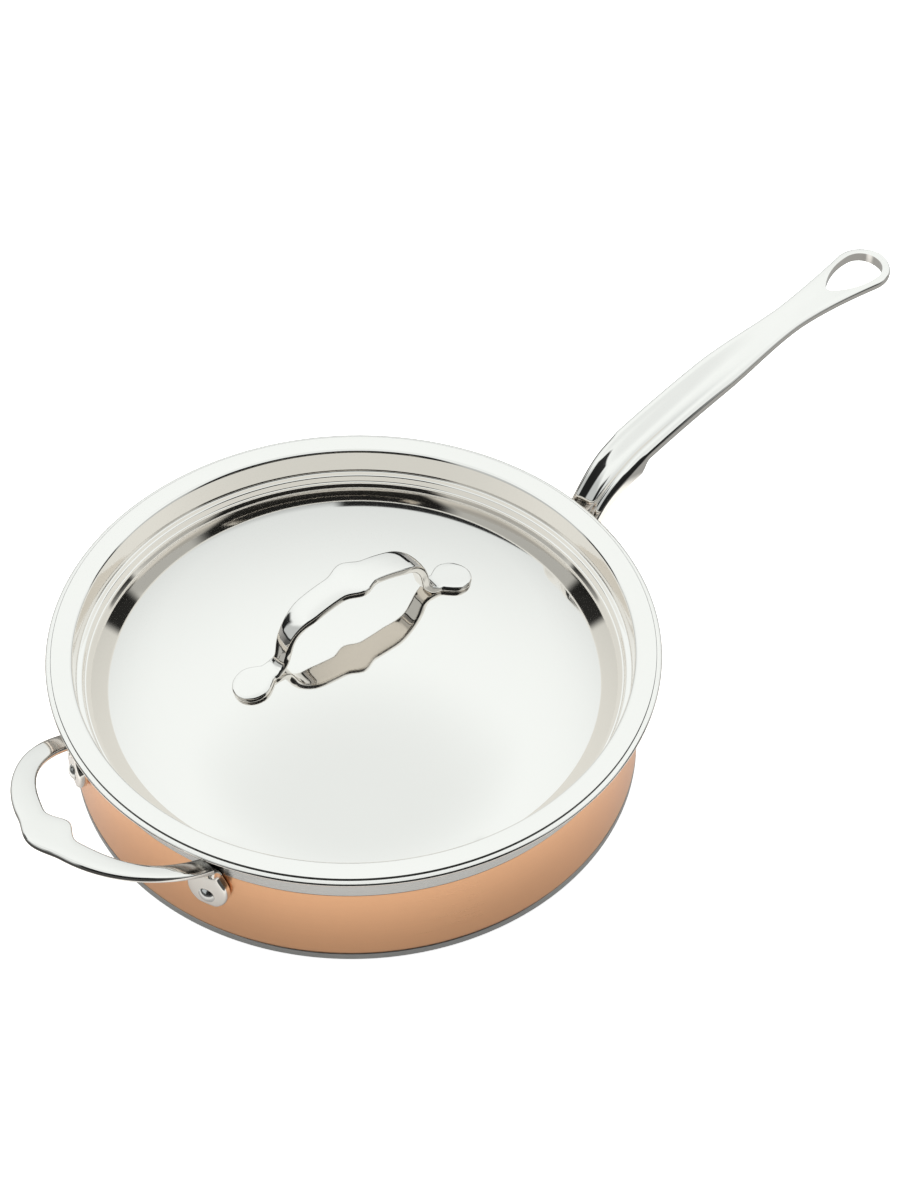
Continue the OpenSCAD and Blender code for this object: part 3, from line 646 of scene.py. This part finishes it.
class OBJECT_OT_lid_sheet(bpy.types.Operator):
    """Turn the lid's sheet: dome, valley, bead, recess and lip"""
    bl_idname = "object.lid_sheet"
    bl_label = "Lid sheet"

    def execute(self, context):
        rows = lid_rows()
        edge = [(LID_EDGE - BREAK, CREST), (LID_EDGE, CREST + BREAK),
                (LID_EDGE, LID_TOP - BREAK), (LID_EDGE - BREAK, LID_TOP)]
        outline = beside(rows, -LID) + edge + beside(rows, 0)[::-1]
        piece = turned("lid_sheet_finished", outline, context.scene.pan_sizes.turns)
        finish_piece(piece, "lid", "lid_steel", "Lid steel", 50, "lid_shell")
        return {"FINISHED"}


# The long handle


REACH = 224.2
LOOP_R = 15.0
LOOP_X = WALL + REACH - LOOP_R
# The stem's bend, whose depth grows over the first part of its turn
BEND_R = 62.7
BEND_C = (WALL + 2.8 + BEND_R, 29.6)
DEEPENING = 69
# The grip's long arc between two slopes, and the level end
GRIP_R = 565
GRIP_SLOPE, END_SLOPE = 16, 1
GRIP_C = on_left(on_left(BEND_C, BEND_R, GRIP_SLOPE), -GRIP_R, GRIP_SLOPE)
GRIP_END = on_left(GRIP_C, GRIP_R, END_SLOPE)


def handle_half(x):
    """Half the handle's width: stem, grip, waist and rounded end."""
    stem, grip, waist, waist_at = 20.4, 23.6, 17.2, 0.692
    join, join_half = LOOP_X - 0.17 * LOOP_R, 0.985 * LOOP_R
    s = (x - WALL) / REACH
    if x > join:
        return math.sqrt(max(0.0, LOOP_R * LOOP_R - (x - LOOP_X) ** 2))
    if s > waist_at:
        share = (s - waist_at) / ((join - WALL) / REACH - waist_at)
        return waist / 2 + (join_half - waist / 2) * share ** 1.5
    return (stem + (grip - stem) * ease(0.063, 0.156, s) - (grip - waist) * ease(0.444, waist_at, s)) / 2


def handle_depth(x, slope):
    """The handle's depth: it grows down the stem and is shallow along the grip and the end."""
    root, stem, grip, end = 3.2, 12.2, 6.1, 4.4
    s = (x - WALL) / REACH
    k = ease(0.168, 0.205, s)
    bent = root + (stem - root) * min(1.0, (90 - slope) / DEEPENING)
    return bent * (1 - k) + (grip - (grip - end) * ease(0.3, 0.8, s)) * k


def handle_section(h, t, g):
    """A section of half width h and depth t with a groove of depth g along its top."""
    e = min(0.36 * t, 0.28 * h)
    k = min(0.3 * t, 0.13 * h)
    d = min(g, 0.55 * t)
    return curved(whole([
        (0, -d - 0.02 * h), (0.22 * h, -0.9 * d - 0.015 * h), (0.42 * h, -0.55 * d - 0.01 * h),
        (0.58 * h, -0.14 * d - 0.005 * h), (0.72 * h, 0), (h - 0.55 * e, -0.12 * e), (h - 0.14 * e, -0.5 * e),
        (h, -e), (h, -t + e), (h - 0.3 * e, -t + 0.25 * e), (h - 1.1 * e, -t - 0.1 * k),
        (0.4 * h, -t - 0.8 * k), (0, -t - k)]), 72)


def end_level(x):
    """Height of the handle's level end."""
    return GRIP_END[1] + (x - GRIP_END[0]) * math.tan(math.radians(END_SLOPE))


def handle_stations():
    """Points and slopes along the handle's top from the bend's start to the tip."""
    rest = 90 - DEEPENING - GRIP_SLOPE
    bend = ([90 - DEEPENING * i / 30 for i in range(31)]
            + [GRIP_SLOPE + rest * (1 - i / 10) for i in range(1, 11)])
    grip = [GRIP_SLOPE - (GRIP_SLOPE - END_SLOPE) * i / 40 for i in range(1, 41)]
    end = ([GRIP_END[0] + (LOOP_X - GRIP_END[0]) * i / 12 for i in range(1, 13)]
           + [LOOP_X + LOOP_R * sine_cosine(6 * i)[0] for i in range(1, 15)])
    return ([(on_left(BEND_C, BEND_R, a), a) for a in bend]
            + [(on_left(GRIP_C, GRIP_R, a), a) for a in grip]
            + [((x, end_level(x)), END_SLOPE) for x in end])


def handle_rings():
    """The handle's rings, the first of them a narrow root inside the wall plate."""
    root_z, root_depth = 26.4, 2.08
    stations = [((BEND_C[0] - BEND_R, root_z), 90, root_depth, 0.0)]
    for p, slope in handle_stations():
        groove = size("groove_depth") * (1 - ease(0.2, 0.66, (p[0] - WALL) / REACH))
        stations.append((p, slope, handle_depth(p[0], slope), groove))
    rings = []
    for p, slope, depth, groove in stations:
        sine, cosine = sine_cosine(slope)
        section = handle_section(handle_half(p[0]), depth, groove)
        rings.append([(p[0] - v * sine, u, p[1] + v * cosine) for u, v in section])
    return rings


def hole_points():
    """The hanging hole's outline: a wide round end, a narrow one and two sides that bulge."""
    wide, narrow, apart, side = 10.9, 3.5, 21.6, 35
    x = ((side - narrow) ** 2 - (side - wide) ** 2 - apart ** 2) / (2 * apart)
    y = math.sqrt((side - wide) ** 2 - x * x)
    a, b = 90 + math.degrees(math.atan2(x, y)), 90 + math.degrees(math.atan2(x + apart, y))
    c = (b - a) / 13
    rows = (arc((0, 0), wide, 90 - a, 90 + a, 40) + arc((x, -y), side, 90 + a + c, 90 + b - c, 11)
            + arc((-apart, 0), narrow, 90 + b, 450 - b, 16) + arc((x, y), side, 450 - b + c, 450 - a - c, 11))
    return [(q[0] + LOOP_X, q[1]) for q in rows]


def shield_rows():
    """Outline of the wall plate, from half widths at its top and foot, a rounding and two heights."""
    top, foot, r, low, high = 22.0, 15.0, 7.0, 13.0, 47.5
    a = math.degrees(math.atan2(high - low, top - foot))
    return (corner((foot, low), r, 0, a, 10) + corner((top, high), r, a, 180, 12)
            + corner((-top, high), r, 180, 360 - a, 12) + corner((-foot, low), r, 360 - a, 360, 10))


def plate_rings(rows):
    """Rings of a wall plate with a rounded outer edge, from inside the wall outward."""
    rings = [[(WALL - 1.0, y, z) for y, z in beside(rows, 0)]]
    for i in range(7):
        sine, cosine = sine_cosine(15 * i)
        x = WALL + PAD - PAD_EDGE * (1 - sine)
        rings.append([(x, y, z) for y, z in beside(rows, PAD_EDGE * (1 - cosine))])
    return rings


def wall_cutter():
    """A cylinder a seat larger than the wall, which gives a plate the wall's round."""
    deselect()
    bpy.ops.mesh.primitive_cylinder_add(
        vertices=256, radius=(WALL + SEAT) * MM, depth=0.07, location=(0, 0, 0.034))
    return named("wall_cutter")


class OBJECT_OT_long_handle(bpy.types.Operator):
    """Draw out the long handle, cut its hanging hole and set its wall plate"""
    bl_idname = "object.long_handle"
    bl_label = "Long handle"

    def execute(self, context):
        stem = drawn_out("long_handle_stem", handle_rings())
        level = end_level(LOOP_X)
        hole = [[(x, y, level + z) for x, y in hole_points()] for z in (-14.0, 8.0)]
        cut(stem, drawn_out("hole_cutter", hole))
        plate = drawn_out("long_handle_plate", plate_rings(shield_rows()))
        cut(plate, wall_cutter())
        piece = joined("long_handle_finished", [stem, plate])
        finish_piece(piece, "pan", "cast_steel", "Cast steel", 40, "long_handle")
        return {"FINISHED"}


# The helper handle


CENTRE_X = WALL - 3.8
HELPER_R = 57
STRAP, ARM = 13.3, 10.0
PAD_ANGLE = 20.8
PAD_R, PAD_Z = 10.9, 38.0
# Where a pad's neck starts to bend, and the rounding of its lower end
NECK_Z, PAD_ROLL = 48.0, 2.1
# How far the faces of a pad and of the strap swell
PAD_CROWN, STRAP_CROWN = 0.6, 0.25


def thumb_share(b):
    """How far the thumb rest is out at an angle from the handle's middle, from 0 to 1."""
    half = 17
    return (1 + math.cos(math.radians(180 * b / half))) / 2 if abs(b) < half else 0.0


def helper_ring(b, back):
    """The strap's ring at an angle from the middle, moved back toward the wall."""
    thumb_out, thumb_in = 3.5, 6.7
    arm_z, rise, thickness, root, slope = 55.6, 19.6, 4.0, 1.2, 11
    wide = STRAP - (STRAP - ARM) * ease(20, 65, abs(b))
    far = HELPER_R + thumb_out * thumb_share(b)
    near = HELPER_R - wide - thumb_in * thumb_share(b)
    middle, half = (far + near) / 2, (far - near) / 2
    line = HELPER_R - STRAP / 2
    wall_x = math.sqrt(WALL * WALL - ((WALL + PAD) * sine_cosine(PAD_ANGLE)[0]) ** 2)
    sine, cosine = sine_cosine(b)
    u = max(0.0, (CENTRE_X - back + line * cosine - wall_x) / (CENTRE_X + line - wall_x))
    t = thickness + root * (1 - ease(0, 0.2, u))
    tilt = math.radians(slope * (1 - ease(60, 95, abs(b))))
    z = arm_z + rise * (1.25 * u - 0.25 * u * u)
    ring = []
    for q, v in strap_section(half, t, size("helper_edge"), STRAP_CROWN):
        r = middle - q - v * math.sin(tilt)
        height = z + (middle - q - line) * math.tan(tilt) + v * math.cos(tilt)
        ring.append((back - CENTRE_X - r * cosine, r * sine, height))
    return ring


def pad_half(z):
    """Half the width of a pad: round below, and narrower toward the neck."""
    neck = 5.7
    if z < PAD_Z:
        return math.sqrt(max(0.0, PAD_R * PAD_R - (PAD_Z - z) ** 2))
    return PAD_R - (PAD_R - neck) * ease(39.0, 53.0, z)


def pad_ring(side, z, turn, half, t, crown):
    """A ring of the bend from arm to wall plate: at turn 90 it is level, at turn 0 it hangs."""
    sweep = math.radians(turn)
    bend = 7.6
    ring = []
    for q, v in strap_section(half, t, PAD_EDGE, crown):
        down = bend + v
        x = WALL + SEAT + bend - down * math.cos(sweep)
        height = z + down * math.sin(sweep)
        y = side * -q
        if turn < 60:
            x += math.sqrt(max(0.0, WALL * WALL - y * y)) - WALL
        sine, cosine = sine_cosine(180 - side * PAD_ANGLE)
        ring.append((x * cosine - y * sine, x * sine + y * cosine, height))
    return ring


def helper_rings():
    """The rings of the helper handle from one pad round to the other."""
    rings = []
    foot = PAD_Z - PAD_R
    for side in (1, -1):
        part = []
        for z in [foot + 0.05] + [PAD_Z - PAD_R * sine_cosine(a)[1] for a in range(8, 90, 6)]:
            drop = max(0.0, PAD_ROLL - (z - foot))
            t = PAD - (PAD_ROLL - math.sqrt(max(0.0, PAD_ROLL * PAD_ROLL - drop * drop)))
            part.append(pad_ring(side, z, 0, max(0.6, pad_half(z)), t, PAD_CROWN))
        for z in (39.5, 41.5, 43.5, 45.5, 47.0):
            crown = PAD_CROWN - (PAD_CROWN - STRAP_CROWN) * ease(PAD_Z, NECK_Z, z)
            part.append(pad_ring(side, z, 0, pad_half(z), PAD, crown))
        for turn in (10, 20, 30, 40, 50, 60, 70):
            part.append(pad_ring(side, NECK_Z, turn, pad_half(NECK_Z + 5 * turn / 70), PAD, STRAP_CROWN))
        arm = [helper_ring(side * 90, back) for back in (2.0, 0.0)]
        if side > 0:
            rings += part + arm + [helper_ring(88 - 2 * i, 0) for i in range(88)]
        else:
            rings += arm[::-1] + part[::-1]
    return rings


class OBJECT_OT_helper_handle(bpy.types.Operator):
    """Draw out the helper handle from one wall plate round to the other"""
    bl_idname = "object.helper_handle"
    bl_label = "Helper handle"

    def execute(self, context):
        piece = drawn_out("helper_handle_finished", helper_rings())
        finish_piece(piece, "pan", "cast_steel", "Cast steel", 45, "helper_handle")
        return {"FINISHED"}


# The lid's handle


ARCH_T = 4.7
LEG_SLOPE = 78
NECK_HALF = 4.3
FOOT_R, FOOT_T, FOOT_EDGE = 9.75, 3.0, 1.0
FOOT_SLOPE = math.degrees(math.asin(59.5 / CAP_R))
LID_TURN = -4.5


def arch_half(x):
    """Half the arch's width: narrower down the legs, with a thumb rest in the middle."""
    strap, leg, thumb, thumb_half = 15.2, 9.4, 7.2, 11
    x = abs(x)
    w = strap - (strap - leg) * ease(25.65, 45.6, x)
    if x < thumb_half:
        w += thumb * (1 + math.cos(math.pi * x / thumb_half)) / 2
    return w / 2


def arch_line():
    """Rows of the arch from its middle to the tip of a foot: x, z, slope, half width, thickness."""
    top_r, top_half, shoulder_r, heel_r = 80, 28.5, 23, 6.5
    top_z = CREST + 48.6 - top_r
    turn = math.degrees(math.asin(top_half / top_r))
    sine, cosine = sine_cosine(turn)
    shoulder = ((top_r - shoulder_r) * sine, top_z + (top_r - shoulder_r) * cosine)
    top_turns = [turn * i / 15 for i in range(16)]
    shoulder_turns = [turn + (LEG_SLOPE - turn) * i / 16 for i in range(1, 17)]
    rows = []
    for centre, r, turns in (((0, top_z), top_r, top_turns), (shoulder, shoulder_r, shoulder_turns)):
        for a in turns:
            sine, cosine = sine_cosine(a)
            x = centre[0] + r * sine
            rows.append((x, centre[1] + r * cosine, a, arch_half(x), ARCH_T))

    # The heel is where the leg's line meets the foot's
    sine, cosine = sine_cosine(FOOT_SLOPE)
    foot = ((CAP_R + FOOT_T) * sine, CAP_Z + (CAP_R + FOOT_T) * cosine)
    leg = rows[-1]
    a, b = math.radians(-LEG_SLOPE), math.radians(-FOOT_SLOPE)
    d = (foot[0] - leg[0], foot[1] - leg[1])
    k = ((d[0] * math.sin(b) - d[1] * math.cos(b))
         / (math.cos(a) * math.sin(b) - math.sin(a) * math.cos(b)))
    heel = corner((leg[0] + k * math.cos(a), leg[1] + k * math.sin(a)), heel_r, -LEG_SLOPE, -FOOT_SLOPE, 10)
    for i in range(1, 5):
        s = i / 5
        x, z = leg[0] + (heel[0][0] - leg[0]) * s, leg[1] + (heel[0][1] - leg[1]) * s
        rows.append((x, z, LEG_SLOPE, leg[3] - (leg[3] - NECK_HALF) * ease(0, 1, s), ARCH_T))
    for i, q in enumerate(heel):
        slope = LEG_SLOPE - (LEG_SLOPE - FOOT_SLOPE) * i / 10
        rows.append((q[0], q[1], slope, NECK_HALF + 0.9 * ease(0, 10, i), ARCH_T - 1.6 * i / 10))

    # The foot is round, and its neck joins it in a soft hollow
    start, stop = -9.2, 9.7
    for i in range(40):
        s = start + (stop - start) * (1 - math.cos(math.pi * i / 39)) / 2
        x, z = foot[0] + s * math.cos(b), foot[1] + s * math.sin(b)
        if x < rows[-1][0] + 0.15:
            continue
        half = math.sqrt(max(0.0, FOOT_R ** 2 - s * s))
        if s < 0:
            half = (half ** 3 + (5.0 * (1 - ease(start, -3.0, s))) ** 3) ** (1 / 3)
        rows.append((x, z, FOOT_SLOPE, max(half, 0.8), FOOT_T + 0.1))
    return rows, foot[0]


def arch_rings():
    """The rings of the lid's handle from one foot to the other, each foot resting on the dome."""
    half, foot_x = arch_line()
    rows = [(-x, z, -a, h, t) for x, z, a, h, t in half[:0:-1]] + half
    turn_sine, turn_cosine = sine_cosine(LID_TURN)
    rings = []
    for x, z, a, h, t in rows:
        sine, cosine = sine_cosine(a)
        edge, crown = (size("arch_edge"), 0.35) if abs(x) < 46 else (FOOT_EDGE, 0.0)
        ring = []
        for u, v in strap_section(h, t, edge, crown):
            # The rounding of the foot's upper edge, all round its outer half
            away = FOOT_R - math.hypot((abs(x) - foot_x) / math.cos(math.radians(FOOT_SLOPE)), u)
            if abs(x) > foot_x and v > -1.2 and away < FOOT_EDGE:
                step = FOOT_EDGE - max(0.0, away)
                v -= FOOT_EDGE - math.sqrt(max(0.0, FOOT_EDGE ** 2 - step ** 2))
            px, pz = x + v * sine, z + v * cosine
            if abs(px) > 40:
                pz = max(pz, CAP_Z + math.sqrt((CAP_R + SEAT) ** 2 - px * px - u * u))
            ring.append((px * turn_cosine - u * turn_sine, px * turn_sine + u * turn_cosine, pz))
        rings.append(ring)
    return rings


class OBJECT_OT_lid_handle(bpy.types.Operator):
    """Draw out the lid's arched handle with its thumb rest and its two round feet"""
    bl_idname = "object.lid_handle"
    bl_label = "Lid handle"

    def execute(self, context):
        piece = drawn_out("lid_handle_finished", arch_rings())
        finish_piece(piece, "lid", "cast_steel", "Cast steel", 45, "lid_handle")
        return {"FINISHED"}


# Rivets


def rivet_head(name, radius, height):
    """A domed head about Z with a rolled edge, its flat side at 0."""
    k = (radius * radius + height * height) / (2 * height)
    a = math.asin(radius / k)
    angles = [a * (1 - i / 12) for i in range(13)]
    dome = [(k * math.sin(b), height - k + k * math.cos(b)) for b in angles]
    dome[0] = (radius - BREAK, 0.0)
    dome.insert(1, (radius, BREAK))
    return turned(name, [(0.0, 0.0)] + dome[:-1] + [(0.0, height)], 48)


def at(x, y, z):
    """A shift in millimetres."""
    return Matrix.Translation((x * MM, y * MM, z * MM))


def rivet(node, outside, inside):
    """A rivet's heads outside and inside the wall, the X axes of whose places point outward."""
    outer = rivet_head("head", size("rivet_radius"), size("rivet_height"))
    inner = rivet_head("tail", 5.5, 1.5)
    for head, place, turn in ((outer, outside, math.pi / 2), (inner, inside, -math.pi / 2)):
        head.data.transform(place @ Matrix.Rotation(turn, 4, "Y"))
        head.data.update()
    piece = joined(node + "_finished", [outer, inner])
    finish_piece(piece, "pan", "rivet_steel", "Rivet steel", 50, node)


class OBJECT_OT_rivets(bpy.types.Operator):
    """Turn the domed rivet heads that show outside and inside the wall"""
    bl_idname = "object.pan_rivets"
    bl_label = "Rivets"

    def execute(self, context):
        for i, side in ((1, 1), (2, -1)):
            place = Matrix.Rotation(math.radians(180 - side * PAD_ANGLE), 4, "Z") @ at(0, 0, 34.6)
            outside, inside = at(WALL + PAD + 0.02, 0, 0), at(INNER - SEAT, 0, 0)
            rivet("helper_rivet_%d" % i, place @ outside, place @ inside)
        for i, y, z in ((1, 15.2, 38.5), (2, -15.2, 38.5), (3, 0.0, 20.5)):
            wall_x = math.sqrt(INNER * INNER - y * y)
            lean = Matrix.Rotation(math.asin(y / INNER), 4, "Z")
            rivet("long_handle_rivet_%d" % i, at(WALL + PAD, y, z), at(wall_x - SEAT, y, z) @ lean)
        return {"FINISHED"}


class OBJECT_OT_hidden_parts(bpy.types.Operator):
    """Finish the solids that stay as they are: the sealed core and the rivets under the lid"""
    bl_idname = "object.pan_hidden_parts"
    bl_label = "Hidden parts"

    def execute(self, context):
        for name in ("aluminium_core", "lid_rivet_1", "lid_rivet_2"):
            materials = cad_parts[name].data.materials
            materials.clear()
            materials.append(finish("Core aluminium" if name == "aluminium_core" else "Rivet steel"))
        return {"FINISHED"}


# Studio


# The photograph's view: turn and fall in degrees, distance in metres, focal length and height in pixels
VIEW_TURN, VIEW_FALL, VIEW_DISTANCE = 41.45, 46.03, 1.8
PHOTO_FOCAL, PHOTO_HEIGHT = 3652.0, 1200.0
SENSOR = 36.0
# The tent's dark gaps: heading beside the view in degrees, cosines of the angles from that heading at
# which the gap starts and is full, and heights at which its top starts and ends to fade
TENT_GAPS = (
    (10.0, 0.970, 0.976, 0.14, 0.16),
    (167.5, 0.58, 0.72, 0.82, 0.85),
    (75.0, 0.984, 0.995, 0.40, 0.54),
    (-77.0, 0.980, 0.992, 0.40, 0.54),
)


def ramp(tree, value, low, high, dark=0.0, light=1.0):
    """A smooth step between two limits from one tone to another, each a number or an output."""
    return add_node(tree, "MapRange", {
        "Value": value, "From Min": low, "From Max": high, "To Min": dark, "To Max": light,
    }, interpolation_type="SMOOTHSTEP").outputs["Result"]


def heading(tree, x, y, aside=0.0):
    """How far a direction points along the view turned aside, and its length over the floor."""
    sine, cosine = sine_cosine(VIEW_TURN + aside)
    length = maths(tree, "MAXIMUM", off_axis(tree, x, y), 0.001)
    along = maths(tree, "MULTIPLY_ADD", x, sine, maths(tree, "MULTIPLY", y, cosine))
    return maths(tree, "DIVIDE", along, length), length


def soft_tent():
    """A white light tent, greyer low down and behind the camera, with dark gaps at four headings."""
    world = bpy.data.worlds.new("Studio")
    world.use_nodes = True
    tree = world.node_tree
    base = tree.nodes["Background"]
    x, y, z = coordinates(tree, "Generated")
    ahead = heading(tree, x, y)[0]

    # The grey part ends higher behind the camera, over a soft edge
    grey, clear_low, clear_high = 0.68, 0.92, 1.22
    behind = ramp(tree, maths(tree, "MULTIPLY", ahead, -1.0), -0.5, 0.5)
    limit = maths(tree, "MULTIPLY_ADD", behind, 0.62, 0.12)
    soft = maths(tree, "MULTIPLY_ADD", behind, 0.10, 0.04)
    light = ramp(tree, z, 0.0, 0.8, clear_low, clear_high)
    low, high = maths(tree, "SUBTRACT", limit, soft), maths(tree, "ADD", limit, soft)
    tone = ramp(tree, z, low, high, grey, light)

    gap_depth = 0.97
    for aside, outer, inner, low, high in TENT_GAPS:
        across = ramp(tree, heading(tree, x, y, aside)[0], outer, inner)
        inside = maths(tree, "MULTIPLY", across, ramp(tree, z, low, high, gap_depth, 0.0))
        tone = maths(tree, "MULTIPLY", tone, maths(tree, "SUBTRACT", 1.0, inside))

    # A dark foot where the tent meets the table, and a slightly dimmer top
    tone = maths(tree, "MULTIPLY", tone, ramp(tree, z, 0.05, 0.08, 0.04, 1.0))
    tone = maths(tree, "MULTIPLY", tone, ramp(tree, z, 0.80, 0.99, 1.0, 0.88))

    # The camera itself sees plain white
    path = add_node(tree, "LightPath", {})
    seen = add_node(tree, "Mix", {"Factor": path.outputs["Is Camera Ray"], "A": tone, "B": 1.2})
    tree.links.new(seen.outputs["Result"], base.inputs["Strength"])
    base.inputs["Color"].default_value = (0.93, 1.0, 1.03, 1.0)
    return world


def floor_finish(colour):
    """A pale floor, white to the camera, that mirrors show with painted shade: bright near the pan, and
    darker farther off.
    """
    material, tree, shader = new_material("Studio floor")
    shader.inputs["Roughness"].default_value = 0.8
    x, y, z = coordinates(tree)
    ahead, length = heading(tree, x, y)

    # Far off, painted shade: dark behind the camera, grey at the sides and dark straight ahead
    far = maths(tree, "MULTIPLY", ramp(tree, ahead, -0.3, 0.2, 0.04, 0.30),
                ramp(tree, ahead, 0.945, 0.975, 1.0, 0.15))
    # Near the pan: painted shade for its soft shadow, lighter away from the camera
    near = maths(tree, "MULTIPLY", ramp(tree, length, 0.14, 0.205, 0.48, 0.84),
                 ramp(tree, ahead, -0.9, -0.1, 1.0, 1.25))
    tone = ramp(tree, length, 0.215, 0.25, near, far)

    # Only mirrors see the painted shade; camera and other rays see the plain floor colour
    path = add_node(tree, "LightPath", {})
    mirrored = maths(tree, "MULTIPLY", path.outputs["Is Glossy Ray"],
                     maths(tree, "SUBTRACT", 1.0, path.outputs["Is Camera Ray"]))
    seen = add_node(tree, "Mix", {"Factor": mirrored, "A": 1.0, "B": tone}).outputs["Result"]
    paint(tree, shader, colour, seen)

    # It glows, more so to the camera, and so stays white in the picture
    shader.inputs["Emission Color"].default_value = (1.0, 1.0, 1.0, 1.0)
    glow = maths(tree, "MULTIPLY_ADD", path.outputs["Is Camera Ray"], 0.3, 0.5)
    tree.links.new(maths(tree, "MULTIPLY", seen, glow), shader.inputs["Emission Strength"])
    return material


def photo_camera(scene):
    """The camera of the photograph, aimed past the pan at the middle of the picture."""
    sine, cosine = sine_cosine(VIEW_FALL)
    spin = Matrix.Rotation(-math.radians(VIEW_TURN), 3, "Z")
    forward = spin @ Vector((0.0, cosine, -sine))
    right = spin @ Vector((1.0, 0.0, 0.0))
    up = spin @ Vector((0.0, sine, cosine))
    aim = spin @ Vector((46.76 * MM, 31.9 * MM, 0.0)) + Vector((0, 0, 68 * MM))
    data = bpy.data.cameras.new("photo_camera")
    camera = bpy.data.objects.new("photo_camera", data)
    scene.collection.objects.link(camera)
    facing = Matrix((right, up, -forward)).transposed().to_4x4()
    camera.matrix_world = Matrix.Translation(aim - forward * VIEW_DISTANCE) @ facing
    data.sensor_fit = "AUTO"
    data.sensor_width = SENSOR
    data.lens = PHOTO_FOCAL / PHOTO_HEIGHT * SENSOR
    data.clip_end = 50
    scene.camera = camera


class OBJECT_OT_pan_studio(bpy.types.Operator):
    """Lay the pale floor, set the soft lights and place the camera"""
    bl_idname = "object.pan_studio"
    bl_label = "Studio"

    def execute(self, context):
        scene = context.scene
        deselect()
        bpy.ops.mesh.primitive_plane_add(size=12.0, location=(0, 0, -0.0002))
        floor = named("studio_floor")
        floor.data.materials.append(floor_finish(tuple(scene.pan_finishes.floor)))

        scene.world = soft_tent()
        place = Vector((-0.6, 1.0, 2.6))
        bpy.ops.object.light_add(type="AREA", location=place)
        light = bpy.context.object
        light.name = "key_light"
        light.data.shape = "SQUARE"
        light.data.size = 2.0
        light.data.energy = 16.0
        light.data.color = (1.0, 0.93, 0.86)
        light.rotation_euler = (-place).to_track_quat("-Z", "Y").to_euler()
        light.visible_glossy = False

        photo_camera(scene)
        scene.view_settings.view_transform = "Standard"
        return {"FINISHED"}


class VIEW3D_PT_pan(bpy.types.Panel):
    """Lists the pan's pieces, sizes and finishes"""
    bl_idname = "VIEW3D_PT_pan"
    bl_label = "Covered saute pan"
    bl_space_type = "VIEW_3D"
    bl_region_type = "UI"
    bl_category = "Pan"

    def draw(self, context):
        column = self.layout.column()
        for key in PanSizes.__annotations__:
            column.prop(context.scene.pan_sizes, key)
        for key in PanFinishes.__annotations__:
            column.prop(context.scene.pan_finishes, key)
        for step in STEPS:
            column.operator(step.bl_idname)


STEPS = (OBJECT_OT_pan_body, OBJECT_OT_lid_sheet, OBJECT_OT_long_handle, OBJECT_OT_helper_handle,
         OBJECT_OT_lid_handle, OBJECT_OT_rivets, OBJECT_OT_hidden_parts, OBJECT_OT_pan_studio)
CLASSES = (PanSizes, PanFinishes, *STEPS, VIEW3D_PT_pan)


def register():
    for cls in CLASSES:
        bpy.utils.register_class(cls)
    bpy.types.Scene.pan_sizes = bpy.props.PointerProperty(type=PanSizes)
    bpy.types.Scene.pan_finishes = bpy.props.PointerProperty(type=PanFinishes)


def unregister():
    del bpy.types.Scene.pan_finishes
    del bpy.types.Scene.pan_sizes
    for cls in reversed(CLASSES):
        bpy.utils.unregister_class(cls)


def main():
    register()
    bpy.ops.object.pan_body()
    bpy.ops.object.lid_sheet()
    bpy.ops.object.long_handle()
    bpy.ops.object.helper_handle()
    bpy.ops.object.lid_handle()
    bpy.ops.object.pan_rivets()
    bpy.ops.object.pan_hidden_parts()
    bpy.ops.object.pan_studio()


if __name__ == "__main__":
    main()
